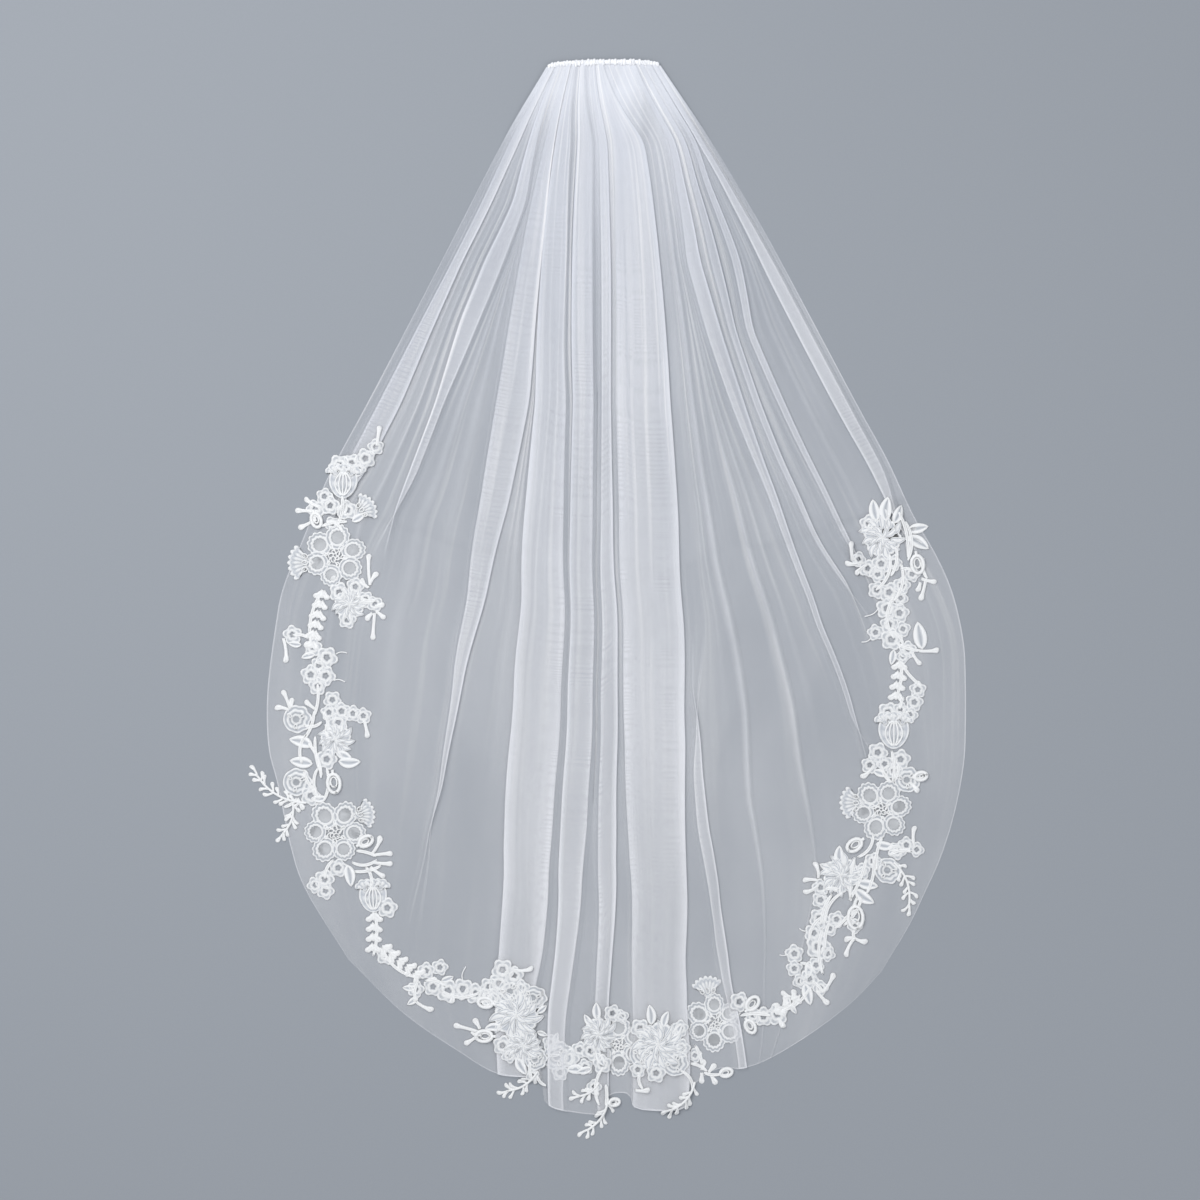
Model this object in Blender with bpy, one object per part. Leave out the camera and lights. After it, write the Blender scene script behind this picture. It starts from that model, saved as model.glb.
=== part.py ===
"""A one-tier bridal veil of soft tulle, laid flat, with its comb, its gathered heading and its lace edging.

The frame: the veil lies on z = 0, face up. +Y runs from the hem to the heading and +X to the right. The
tables are in millimetres from a point on the veil's long axis, and the objects are made in metres, under an
empty that brings the middle of the veil's footprint to the origin.

The tulle is one panel of constant wall, lofted from rows of sections. A place on it has an across and a
down, each from 0 to 1: across from the left side to the right, down from the heading to the hem, and a row
is all the places of one down. A fold is three layers of the panel between its two edges; where its edges
cross over it has opened out into a soft ridge.
"""

import math

import bmesh
import bpy
import numpy as np
from mathutils import Vector
from mathutils.bvhtree import BVHTree
from mathutils.geometry import delaunay_2d_cdt

MM = 0.001
TO_MIDDLE = (1.59, 0.22, 0.0)  # moves the middle of the footprint to the origin

# Tulle panel
WALL = 1.0  # thickness of the cloth
SEAM_GAP = 0.3  # clearance between pieces, and between the layers of a fold
LAYER = WALL + SEAM_GAP  # rise from one layer of a fold to the next
HEADING_LEFT = (-54.0, 463.0)
HEADING_RIGHT = (46.0, 464.5)
HEADING_ARCH = 2.6  # rise of the heading's middle above its ends
HEADING_MARGIN = 1.5  # plain cloth at each end of the heading
ROWS = (0.0, 0.02, 0.05, 0.08, 0.13, 0.21, 0.32, 0.45, 0.6, 0.75, 0.88, 1.0)  # the down of each row

# A fold's section, measured outwards from its edges
TURN = WALL / 2  # the wall's middle line to its outer face
CREST_RUN = 1.4  # how far the top layer runs on past the lower edge
RAMP_RUN = 1.6  # how far it takes to come down to the surface
NARROW, WIDE = 2.0, 8.0  # fold widths between which the middle layer settles from sloping to level
OPEN_OUT = 8.0  # how far a fold's edges cross before it has flattened out
OPEN_SPREAD = (-4.0, -1.0, 0.0, 1.5, 3.5, 6.0)  # how far each point of a section moves out as it flattens
FULL_ROW = 600.0  # rows this wide open out in full, and shorter ones in proportion
RIDGE_SLOPE = 0.24  # a soft ridge's height for its width
RIDGE_CROWN = 0.35  # share of a ridge's width that each flank takes

# Comb, under the heading
COMB_LENGTH = 92.0
COMB_THICK = 2.0
COMB_SPINE = 6.0
COMB_TEETH = 20
TOOTH_LENGTH = 30.0
TOOTH_ROOT, TOOTH_TIP = 2.2, 1.2
COMB_BACK_Y = 463.0
COMB_MIDDLE_X = -4.0
LIFT = COMB_THICK + SEAM_GAP  # the tulle passes over the comb
LIFT_FULL_Y, LIFT_NONE_Y = 412.0, 390.0

# Heading: the rolled and whipped top edge
ROLL_RADIUS = 2.7
ROLL_END_SHARE = 0.55  # radius at its ends for that at its middle
ROLL_SCALLOPS = 16
SCALLOP_DEPTH = 0.35
ROLL_Z = 4.0
STATIONS_PER_SCALLOP = 2
ROLL_INSET = 0.015  # across from the panel's corner to the roll's end

# Lace
LACE_THICK = 1.2
LACE_DISH = 0.6  # top of a petal's net centre
LACE_BOSS = 1.7  # top of a flower's or a rose's centre
SNAP = 0.5  # outlines closer than this meet
DRAPE_STEP = 1.5  # spacing of the places at which the tulle under a face of lace is felt

# Columns: x, y of the panel's cut edge as it lies: down the left side, along the hem, down the right side.
# The sides start at the heading's ends, and all three are drawn as smooth curves.
LEFT_SIDE = (
    HEADING_LEFT,
    (-92, 398),
    (-145, 295),
    (-205, 180),
    (-245, 105),
    (-266, 53),
    (-284, 9),
    (-291, -26),
    (-298, -84),
    (-297, -131),
    (-289, -164),
    (-277, -221),
    (-263, -259),
    (-227, -317),
)
HEM = (
    (-227, -317),
    (-179, -364),
    (-130, -398),
    (-97, -417),
    (-60, -422),
    (-55, -441),
    (-40, -449),
    (-5, -452),
    (1, -436),
    (18, -435),
    (23, -446),
    (40, -449),
    (66, -447),
    (76, -426),
    (96, -413),
    (119, -412),
    (143, -403),
    (179, -381),
    (214, -354),
    (239, -328),
)
RIGHT_SIDE = (
    HEADING_RIGHT,
    (89, 400),
    (121, 347),
    (151, 294),
    (216, 172),
    (244, 121),
    (267, 72),
    (288, 35),
    (302, 2),
    (311, -38),
    (313, -73),
    (313, -119),
    (311, -149),
    (303, -190),
    (291, -228),
    (277, -259),
    (263, -288),
    (239, -328),
)

# Columns: name, where its upper edge shows (-1 left, 1 right, 0 for a soft ridge), spare columns of points in
# each layer, then its rows of y, left edge x, right edge x. Left beyond right means opened out.
FOLDS = (
    ("left_side", 1, 0,
     ((400, -84, -77), (347, -109, -101), (295, -135, -127), (234, -167, -154), (172, -199, -180),
      (110, -231, -212), (60, -238, -246))),
    ("left_outer", -1, 0,
     ((347, -82, -72), (295, -107, -91), (244, -128, -112), (172, -150, -143), (105, -175, -169),
      (37, -196, -204))),
    ("left_inner", 1, 1,
     ((328, -70, -55), (207, -91, -66), (172, -97, -69), (79, -112, -88), (-3, -123, -108),
      (-84, -136, -129), (-166, -147, -145), (-300, -168, -176))),
    ("band_a", -1, 1,
     ((400, -45, -33), (172, -63, -37), (-3, -75, -38), (-103, -83, -42), (-204, -90, -49),
      (-315, -95, -58), (-418, -96, -60))),
    ("band_b", -1, 1,
     ((400, -26, -14), (172, -30, -13), (-3, -32, -13), (-103, -35, -14), (-204, -41, -19),
      (-315, -46, -30), (-440, -52, -40))),
    ("band_c", 1, 0,
     ((400, -7, -1), (172, -5, 2), (-3, -5, 7), (-103, -6, 8), (-204, -8, 7), (-315, -9, 3),
      (-440, -9, 0))),
    ("band_d", 1, 2,
     ((400, 5, 31), (302, 7, 44), (172, 8, 54), (-3, 13, 64), (-103, 14, 66), (-204, 18, 67),
      (-315, 21, 67), (-440, 22, 70))),
    ("diagonal", 1, 0,
     ((400, 38, 36), (302, 50, 47), (172, 63, 58), (-20, 82, 74), (-80, 78, 74), (-150, 75, 82),
      (-204, 79, 88), (-270, 90, 98), (-347, 103, 109), (-412, 115, 121))),
    ("soft_near", 0, 0,
     ((400, 41, 44), (364, 47, 51), (300, 55, 60), (260, 60, 67), (172, 70, 78), (102, 79, 88),
      (-14, 99, 111), (-175, 119, 128), (-300, 136, 139), (-412, 131, 134))),
    ("soft_far", 0, 0,
     ((400, 45, 47), (300, 61, 63), (172, 88, 91), (112, 101, 109), (32, 121, 131), (-49, 144, 155),
      (-143, 162, 172), (-240, 181, 184))),
    ("long_right", 1, 0,
     ((400, 54, 58), (364, 60, 66), (295, 69, 80), (234, 86, 98), (172, 107, 118), (105, 134, 141),
      (37, 160, 165), (-26, 183, 187), (-103, 212, 215), (-150, 237, 229))),
    ("mid_right", 1, 0,
     ((400, 64, 67), (364, 73, 77), (295, 90, 97), (234, 106, 111), (172, 127, 132), (112, 152, 156),
      (56, 178, 181), (18, 202, 205), (-30, 234, 226), (-150, 257, 249))),
    ("outer_right", 1, 0,
     ((400, 73, 76), (364, 84, 88), (295, 109, 115), (234, 121, 126), (172, 148, 153), (112, 177, 181),
      (50, 208, 211), (0, 241, 233), (-150, 277, 269))),
    ("right_side", -1, 0,
     ((370, 95, 100), (278, 141, 152), (172, 196, 208), (105, 233, 243), (30, 275, 267), (-30, 301, 293),
      (-150, 303, 295))),
)
# Gathers: low ridges in the space before each fold, by the fold's number, and after the last one. Columns:
# share of the way across the space, share of its width, height, and the downs at which the ridge is fullest
# and at which it has faded.
GATHERS = (
    ((0.20, 0.16, 1.2, 0.10, 0.50), (0.45, 0.20, 1.6, 0.20, 0.70), (0.72, 0.16, 1.4, 0.15, 0.55)),
    ((0.22, 0.20, 1.6, 0.20, 0.60), (0.52, 0.22, 2.2, 0.30, 0.85), (0.82, 0.16, 1.4, 0.12, 0.50)),
    ((0.30, 0.26, 2.2, 0.30, 0.80), (0.70, 0.30, 2.0, 0.25, 0.60)),
    ((0.20, 0.18, 1.5, 0.20, 0.45), (0.48, 0.20, 1.8, 0.25, 0.70), (0.76, 0.22, 1.6, 0.15, 0.90)),
    ((0.50, 0.50, 1.0, 0.20, 0.60),),
    ((0.50, 0.40, 1.2, 0.20, 0.60),),
    ((0.50, 0.50, 1.0, 0.25, 0.50),),
    ((0.32, 0.26, 1.4, 0.20, 0.70), (0.72, 0.24, 1.0, 0.30, 0.55)),
    ((0.35, 0.30, 1.4, 0.20, 0.65), (0.72, 0.24, 1.2, 0.30, 0.80)),
    ((0.50, 0.34, 1.0, 0.20, 0.55),),
    ((0.30, 0.26, 1.6, 0.30, 0.85), (0.68, 0.24, 1.8, 0.20, 0.60)),
    ((0.35, 0.30, 1.6, 0.20, 0.60), (0.72, 0.24, 1.4, 0.35, 0.85)),
    ((0.30, 0.26, 1.6, 0.18, 0.55), (0.70, 0.26, 1.2, 0.25, 0.75)),
    ((0.20, 0.18, 1.4, 0.15, 0.45), (0.46, 0.20, 1.8, 0.25, 0.70), (0.76, 0.20, 1.4, 0.20, 0.50)),
    ((0.30, 0.28, 1.2, 0.20, 0.60), (0.68, 0.26, 1.2, 0.15, 0.45)),
)
GATHER_SLOPE = 0.4  # the most that a gather rises, for its width

# Lace: columns: motif, x, y, direction in degrees, size. A bloom's size is its radius; a leaf, bud, bulb, run
# or stem grows from x, y in its direction for its size.
LACE = {
    "lace_left": (
        ("bulb", -202, 133, 80, 15),
        ("floret", -202, 130, 10, 9),
        ("floret", -211, 121, 30, 10),
        ("floret", -222, 120, 0, 9),
        ("floret", -235, 115, 40, 9),
        ("bud", -228, 87, 97, 28),
        ("leaf", -234, 77, 140, 22),
        ("stem", -230, 92, -100, 26),
        ("floret", -229, 76, 20, 10),
        ("rosette", -214, 76, 15, 11),
        ("bulb", -248, 76, 150, 20),
        ("bulb", -248, 72, 168, 25),
        ("bulb", -250, 64, 192, 24),
        ("floret", -249, 72, 50, 9),
        ("floret", -240, 63, 0, 10),
        ("flower", -239, 36, 15, 28),
        ("rosette", -268, 30, 170, 14),
        ("stem", -246, 12, -122, 14),
        ("run", -253, 2, -97, 50),
        ("floret", -277, -32, 30, 9),
        ("stem", -272, -33, -15, 14),
        ("bulb", -280, -36, -100, 22),
        ("floret", -246, -52, 0, 9),
        ("leaf", -254, -48, 205, 16),
        ("stem", -258, -42, -72, 22),
        ("floret", -259, -68, 20, 10),
        ("floret", -246, -71, 50, 10),
        ("stem", -254, -76, -96, 34),
        ("floret", -241, -92, 0, 8),
        ("floret", -233, -101, 25, 9),
        ("run", -226, -101, -14, 20),
        ("bulb", -209, -104, -88, 18),
        ("rosette", -275, -106, 20, 12),
        ("bulb", -279, -98, 100, 16),
        ("bulb", -279, -100, 170, 12),
        ("stem", -266, -108, -30, 16),
        ("stem", -257, -106, -112, 26),
        ("stem", -259, -112, -30, 14),
        ("rose", -238, -122, 10, 17),
        ("leaf", -242, -140, -12, 25),
        ("leaf", -262, -128, 176, 20),
        ("leaf", -260, -145, 176, 18),
        ("stem", -264, -126, -78, 30),
        ("stem", -250, -130, -80, 44),
        ("rosette", -273, -162, 0, 12),
        ("stem", -264, -160, -30, 26),
        ("stem", -240, -134, -90, 18),
        ("leaf", -240, -148, -78, 20),
        ("run", -270, -172, 173, 32),
        ("bulb", -301, -166, 125, 20),
        ("bulb", -301, -168, 160, 16),
        ("bulb", -298, -171, 215, 16),
        ("bulb", -276, -176, 250, 36),
        ("bulb", -280, -187, 200, 14),
        ("stem", -277, -174, 12, 30),
        ("flower", -239, -206, 0, 28),
        ("rosette", -214, -190, 0, 12),
        ("stem", -243, -168, -86, 22),
        ("run", -222, -228, 12, 24),
        ("stem", -234, -222, -18, 34),
        ("bulb", -204, -222, 84, 14),
        ("bulb", -202, -226, 12, 14),
        ("bulb", -204, -232, -8, 15),
        ("leaf", -226, -228, -88, 25),
        ("floret", -247, -250, 20, 12),
        ("stem", -242, -222, -102, 26),
        ("stem", -216, -230, -70, 24),
        ("bud", -206, -274, 92, 26),
        ("floret", -194, -270, 0, 8),
        ("run", -204, -271, -92, 35),
        ("stem", -204, -300, -60, 16),
        ("floret", -195, -313, 0, 8),
        ("run", -197, -308, -42, 42),
        ("floret", -161, -327, 30, 8),
        ("floret", -147, -323, 0, 8),
        ("stem", -152, -338, 72, 14),
        ("leaf", -170, -340, 196, 12),
        ("stem", -168, -334, -95, 22),
        ("bulb", -168, -354, -28, 16),
        ("leaf", -166, -352, 210, 11),
        ("floret", -152, -339, 10, 10),
        ("floret", -138, -346, 0, 12),
        ("floret", -125, -345, 30, 10),
        ("floret", -113, -345, 20, 9),
        ("rose", -227, -6, 0, 17),
        ("leaf", -228, 0, 140, 20),
        ("stem", -222, -4, 38, 22),
        ("bulb", -206, 6, 97, 28),
        ("floret", -211, 17, 0, 8),
        ("stem", -206, 8, -88, 30),
        ("floret", -203, -12, 30, 8),
        ("bulb", -203, -18, -98, 18),
        ("leaf", -205, -14, -20, 12),
    ),
    "lace_fold_a": (
        ("rose", -79, -362, 0, 17),
        ("rosette", -80, -385, 20, 13),
        ("leaf", -81, -353, 120, 20),
        ("leaf", -76, -353, 60, 19),
        ("stem", -72, -390, -75, 30),
        ("run", -68, -412, -95, 24),
        ("bulb", -68, -425, 205, 25),
        ("bulb", -68, -428, 240, 18),
        ("bulb", -68, -428, 290, 18),
    ),
    "lace_fold_b": (
        ("floret", -43, -402, 0, 9),
        ("leaf", -42, -396, 80, 12),
        ("stem", -44, -406, -88, 14),
        ("floret", -44, -418, 25, 7),
    ),
    "lace_fold_c": (
        ("leaf", -4, -385, 94, 26),
        ("leaf", -4, -392, 120, 10),
        ("floret", -4, -398, 45, 7),
        ("stem", -4, -380, -90, 60),
        ("run", -4, -438, -95, 24),
        ("bulb", -5, -452, 235, 22),
        ("bulb", -4, -452, 305, 14),
        ("bulb", -4, -444, 35, 14),
        ("bulb", -5, -456, 262, 17),
    ),
    "lace_between_folds": (
        ("floret", 12, -372, 45, 7),
        ("floret", 12, -384, 45, 7),
        ("floret", 12, -396, 45, 7),
        ("floret", 12, -408, 45, 7),
        ("stem", 12, -366, -90, 48),
    ),
    "lace_fold_d": (
        ("rose", 44, -390, 10, 20),
        ("leaf", 38, -376, 95, 22),
        ("leaf", 50, -378, 65, 16),
        ("leaf", 34, -394, 185, 12),
        ("leaf", 52, -402, -35, 20),
        ("stem", 40, -404, -100, 28),
        ("bulb", 38, -428, 200, 12),
        ("stem", 60, -412, -60, 24),
        ("run", 70, -430, -72, 20),
        ("bulb", 73, -440, 212, 21),
        ("bulb", 74, -444, 246, 14),
        ("bulb", 76, -440, -28, 14),
    ),
    "lace_right_flower": (
        ("floret", 83, -366, 0, 8),
        ("floret", 86, -378, 25, 8),
        ("rosette", 84, -348, 10, 10),
        ("stem", 84, -350, -90, 12),
        ("floret", 91, -388, 0, 8),
        ("stem", 86, -384, -82, 34),
        ("bulb", 91, -410, 12, 19),
        ("bulb", 90, -414, -60, 12),
    ),
    "lace_right": (
        ("floret", 126, -357, 20, 9),
        ("leaf", 133, -364, -125, 15),
        ("leaf", 128, -364, 60, 14),
        ("floret", 137, -366, 0, 10),
        ("floret", 150, -364, 25, 10),
        ("leaf", 146, -366, -60, 14),
        ("run", 152, -360, 38, 26),
        ("stem", 168, -348, 50, 16),
        ("floret", 176, -336, 0, 10),
        ("leaf", 176, -338, -80, 18),
        ("bulb", 180, -342, -42, 20),
        ("bulb", 186, -347, 55, 20),
        ("stem", 180, -340, -45, 12),
        ("stem", 176, -334, 80, 26),
        ("floret", 165, -325, 10, 9),
        ("floret", 163, -312, 40, 9),
        ("stem", 164, -310, -84, 16),
        ("stem", 165, -323, -6, 14),
        ("floret", 182, -322, 0, 8),
        ("floret", 184, -306, 15, 12),
        ("floret", 184, -292, 50, 9),
        ("floret", 188, -278, 10, 9),
        ("stem", 188, -286, 60, 34),
        ("stem", 184, -272, 52, 30),
        ("stem", 200, -280, 55, 36),
        ("rose", 203, -240, 0, 19),
        ("leaf", 202, -232, 110, 15),
        ("bulb", 188, -254, 110, 22),
        ("floret", 187, -258, 20, 9),
        ("bulb", 186, -252, 165, 16),
        ("bulb", 184, -258, 185, 13),
        ("leaf", 219, -262, -50, 16),
        ("leaf", 220, -250, -15, 16),
        ("stem", 208, -270, 10, 14),
        ("leaf", 214, -268, -85, 24),
        ("bulb", 214, -288, -105, 26),
        ("bulb", 211, -297, -15, 13),
        ("stem", 222, -268, 84, 56),
        ("stem", 213, -262, 66, 50),
        ("rosette", 243, -238, 10, 12),
        ("stem", 224, -228, -20, 16),
        ("stem", 226, -214, -12, 26),
        ("floret", 253, -222, 0, 8),
        ("floret", 262, -217, 20, 8),
        ("bulb", 268, -220, 88, 20),
        ("stem", 254, -226, -42, 14),
        ("floret", 272, -221, 0, 5),
        ("run", 262, -234, -78, 34),
        ("bulb", 264, -236, -5, 14),
        ("bulb", 266, -246, -10, 12),
        ("bulb", 267, -264, -95, 15),
        ("flower", 240, -184, 0, 27),
        ("rosette", 216, -180, 180, 13),
        ("stem", 226, -212, 60, 14),
        ("rosette", 261, -160, 10, 12),
        ("bulb", 266, -158, 15, 12),
        ("floret", 229, -153, 20, 9),
        ("leaf", 232, -152, 205, 15),
        ("stem", 238, -164, 110, 16),
        ("stem", 246, -160, 85, 30),
        ("floret", 236, -140, 0, 9),
        ("floret", 252, -140, 30, 10),
        ("bud", 250, -130, 94, 30),
        ("stem", 250, -136, 90, 16),
        ("floret", 264, -104, 0, 8),
        ("stem", 252, -104, 80, 24),
        ("run", 254, -88, 92, 32),
        ("floret", 269, -92, 20, 7),
        ("floret", 271, -80, 0, 8),
        ("stem", 258, -68, -50, 16),
        ("stem", 270, -84, -100, 20),
        ("stem", 255, -58, 100, 20),
        ("floret", 248, -38, 0, 10),
        ("floret", 234, -31, 30, 8),
        ("stem", 234, -31, -25, 14),
        ("leaf", 268, -50, 78, 27),
        ("bulb", 268, -46, 2, 18),
        ("leaf", 262, -42, -55, 17),
        ("stem", 252, -42, -5, 18),
        ("stem", 250, -36, 90, 30),
        ("floret", 252, -16, 20, 10),
        ("floret", 244, -6, 0, 9),
        ("stem", 248, -10, 85, 40),
        ("floret", 235, 8, 15, 7),
        ("stem", 238, 4, 50, 16),
        ("stem", 252, 4, 78, 44),
        ("rose", 240, 52, 0, 21),
        ("leaf", 240, 68, 88, 19),
        ("leaf", 232, 62, 165, 14),
        ("leaf", 258, 48, 38, 25),
        ("leaf", 256, 44, -8, 24),
        ("bulb", 234, 32, 200, 26),
        ("bulb", 222, 28, 118, 20),
        ("floret", 226, 25, 10, 9),
        ("stem", 226, 26, 32, 22),
        ("stem", 238, 24, 60, 16),
        ("rosette", 272, 28, 0, 9),
        ("stem", 256, 30, 0, 14),
        ("bulb", 275, 24, -82, 26),
        ("bulb", 277, 14, -5, 9),
    ),
}

BULB_RADIUS = 3.0
STEM_WIDTH = 3.0
LEAFLET_PITCH = 9.0
LEAFLET_LENGTH = 8.5


# ---------------------------------------------------------------- the layout of the tulle


def smooth_line(points, count):
    """A Catmull-Rom curve through the points, as `count` places evenly spaced along it."""
    p = np.array(points, float)
    ends = np.vstack([2 * p[0] - p[1], p, 2 * p[-1] - p[-2]])
    fine = []
    for a, b, c, d in zip(ends, ends[1:], ends[2:], ends[3:]):
        for s in np.linspace(0, 1, 12, endpoint=False):
            fine.append(0.5 * (2 * b + (c - a) * s + (2 * a - 5 * b + 4 * c - d) * s**2
                               + (3 * b - a - 3 * c + d) * s**3))
    fine = np.array(fine + [p[-1]])
    length = np.r_[0, np.cumsum(np.hypot(*np.diff(fine, axis=0).T))]
    at = np.linspace(0, length[-1], count)
    return np.column_stack([np.interp(at, length, fine[:, 0]), np.interp(at, length, fine[:, 1])])


CURVE_STEPS = 800
CURVES = [smooth_line(points, CURVE_STEPS + 1) for points in (LEFT_SIDE, HEM, RIGHT_SIDE)]
CORNERS = [np.array(points[end], float) for points in (LEFT_SIDE, RIGHT_SIDE) for end in (0, -1)]


def on_curve(curve, share):
    at = min(max(share, 0.0), 1.0) * CURVE_STEPS
    low = min(int(at), CURVE_STEPS - 1)
    return curve[low] + (curve[low + 1] - curve[low]) * (at - low)


def place(across, down):
    """The x, y of a place on the panel: the patch that its four edges span."""
    left, hem, right = CURVES
    top_left, low_left, top_right, low_right = CORNERS
    chord = top_left + (top_right - top_left) * across
    heading = chord + (0.0, HEADING_ARCH * (1 - (2 * across - 1) ** 6))
    sides = on_curve(left, down) * (1 - across) + on_curve(right, down) * across
    ends = heading * (1 - down) + on_curve(hem, across) * down
    corners = chord * (1 - down) + (low_left + (low_right - low_left) * across) * down
    return sides + ends - corners


def along_row(across, down):
    """The direction of a row at a place, and its length in mm for one unit of across."""
    step = 0.004
    before, after = max(across - step, 0.0), min(across + step, 1.0)
    run = (place(after, down) - place(before, down)) / (after - before)
    length = float(np.hypot(*run))
    return run / length, length


def find(x, y):
    """The across and down of an x, y, by Newton's method from the nearest of a few places."""
    target = np.array([x, y], float)
    tries = [(a / 10, d / 10) for a in range(11) for d in range(11)]
    at = np.array(min(tries, key=lambda p: float(np.hypot(*(place(*p) - target)))))
    step = 0.002
    for _ in range(30):
        here = place(*at)
        slopes = np.column_stack([place(at[0] + step, at[1]), place(at[0], at[1] + step)]) - here[:, None]
        slopes /= step
        at = np.clip(at - 0.7 * np.linalg.solve(slopes, here - target), 0.0, 1.0)
    return float(at[0]), float(at[1])


def heading_slots():
    """The left and right across of each fold at the heading: side by side, each with room for its ramp."""
    length = math.dist(HEADING_LEFT, HEADING_RIGHT)
    ramp = CREST_RUN + RAMP_RUN
    slot = (length - 2 * HEADING_MARGIN) / len(FOLDS)
    slots = []
    for number, (_, facing, _, _) in enumerate(FOLDS):
        left = HEADING_MARGIN + slot * number + WALL + ramp * (facing + 1) / 2
        slots.append((left / length, (left + slot - ramp - 2 * WALL) / length))
    return slots


def fold_tracks():
    """For each fold, its left and its right edge as lists of down and across, from the heading down."""
    tracks = []
    for slot, (_, _, _, rows) in zip(heading_slots(), FOLDS):
        opened = rows[0][1] > rows[0][2]
        edges = []
        for edge, start in zip((1, 2), slot[::-1] if opened else slot):
            found = [find(row[edge], row[0]) for row in rows]
            edges.append(([0.0] + [down for _, down in found], [start] + [across for across, _ in found]))
        tracks.append(edges)
    return tracks


def edge_at(track, side, down):
    return float(np.interp(down, *track[side]))


def fold_section(u_left, u_right, t, facing, spare):
    """The fold's points, left to right: across, shift along the row in mm, height of the wall's middle."""
    per_across = along_row((u_left + u_right) / 2, t)[1]
    width = (u_right - u_left) * per_across
    base = TURN
    if not facing:
        crown = (u_right - u_left) * RIDGE_CROWN
        top = base + width * RIDGE_SLOPE
        return [(u_left, 0.0, base), (u_left + crown, 0.0, top), (u_right - crown, 0.0, top),
                (u_right, 0.0, base)]
    room = min(per_across / FULL_ROW, 1.0)
    slope = min(max((WIDE - width) / (WIDE - NARROW), 0.0), 1.0)
    rise = min(max(1 + width / (OPEN_OUT * room), 0.0), 1.0)
    level = [base + rise * LAYER * k for k in (0.0, 1.0, 1 + slope, 2 + slope)]
    spread = [(1 - rise) * room * s for s in OPEN_SPREAD]
    near, far = (u_left, u_right) if facing < 0 else (u_right, u_left)
    top = max(far, near, key=lambda u: -u * facing)
    shares = [(k + 1) / (spare + 1) for k in range(spare)]
    points = [(far, spread[0], base), (far, spread[1], level[1])]
    points += [(far + (near - far) * s, 0.0, level[1] + (level[2] - level[1]) * s) for s in shares]
    points += [(near, spread[2], level[2]), (near, spread[3], level[3])]
    crest = CREST_RUN * rise + spread[4]
    points += [(near + (top - near) * s, spread[3] + (crest - spread[3]) * s, level[3]) for s in shares]
    points += [(top, crest, level[3]), (top, (CREST_RUN + RAMP_RUN) * rise + spread[5], base)]
    if facing < 0:
        return points
    return [(u, -shift, z) for u, shift, z in reversed(points)]


def fade(t, fullest, gone):
    """0 at the heading, 1 where a gather is fullest, and 0 again where it has faded."""
    grown, left = (min(max(share, 0.0), 1.0) for share in (t / fullest, (gone - t) / (gone - fullest)))
    return grown * grown * (3 - 2 * grown) * left * left * (3 - 2 * left)


def space_section(gathers, seen_from, seen_to, t):
    """The points of the cloth that shows between two folds: a foot, a crown and a foot for each gather."""
    middle = (seen_from + seen_to) / 2
    seen_from, seen_to = min(seen_from, middle), max(seen_to, middle)
    width = (seen_to - seen_from) * along_row(middle, t)[1]
    points = []
    for at, size, tall, fullest, gone in gathers:
        height = min(tall, GATHER_SLOPE * size * width) * fade(t, fullest, gone)
        for side, rise in ((-0.5, 0.0), (0.0, height), (0.5, 0.0)):
            points.append((seen_from + (seen_to - seen_from) * (at + size * side), 0.0, TURN + rise))
    return points


def row_section(t, tracks):
    """All points of one row as [x, y, height of the wall's middle], with the row's direction at each."""
    found = [(0.0, 0.0, TURN)]
    edge = 0.0
    for number, (_, facing, spare, _) in enumerate(FOLDS):
        left, right = (edge_at(tracks[number], side, t) for side in (0, 1))
        points = fold_section(left, right, t, facing, spare)
        start = points[0][0] + points[0][1] / along_row(points[0][0], t)[1]
        found += space_section(GATHERS[number], edge, min(start, left), t)
        found += points
        edge = max(points[-1][0] + points[-1][1] / along_row(points[-1][0], t)[1], right)
    found += space_section(GATHERS[-1], edge, 1.0, t)
    found.append((1.0, 0.0, TURN))
    row = []
    for u, shift, z in found:
        direction, _ = along_row(u, t)
        x, y = place(u, t) + direction * shift
        row.append((x, y, z, direction))
    return row


def lift(y):
    """How far the comb holds the tulle up."""
    share = (y - LIFT_NONE_Y) / (LIFT_FULL_Y - LIFT_NONE_Y)
    return LIFT * min(max(share, 0.0), 1.0)


def wall_faces(row):
    """The row's upper and lower points: half the wall to each side of its middle line, with mitred corners."""
    upper, lower = [], []
    for k, (x, y, z, direction) in enumerate(row):
        normals = []
        for a, b in ((k - 1, k), (k, k + 1)):
            if a < 0 or b >= len(row):
                continue
            run = np.array([row[b][0] - row[a][0], row[b][1] - row[a][1]]) @ direction
            rise = row[b][2] - row[a][2]
            size = math.hypot(run, rise)
            normals.append((-rise / size, run / size))
        n = np.sum(normals, axis=0)
        n /= n @ normals[0]  # the mitre reaches both offset lines
        offset = n * TURN
        base = lift(y)
        for side, points in ((1, upper), (-1, lower)):
            shift = direction * offset[0] * side
            points.append((x + shift[0], y + shift[1], max(z + offset[1] * side, 0.0) + base))
    return upper, lower


# ---------------------------------------------------------------- objects and materials


def material(name, colour, roughness, alpha=1.0):
    made = bpy.data.materials.new(name)
    made.use_nodes = True
    shader = made.node_tree.nodes["Principled BSDF"]
    shader.inputs["Base Color"].default_value = (*colour, 1.0)
    shader.inputs["Roughness"].default_value = roughness
    shader.inputs["Metallic"].default_value = 0.0
    shader.inputs["Alpha"].default_value = alpha
    return made


def link(thing, parent):
    """Puts an object in the veil's collection, under the veil's empty."""
    bpy.context.scene.collection.children["bridal_veil"].objects.link(thing)
    thing.parent = parent
    return thing


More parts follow.
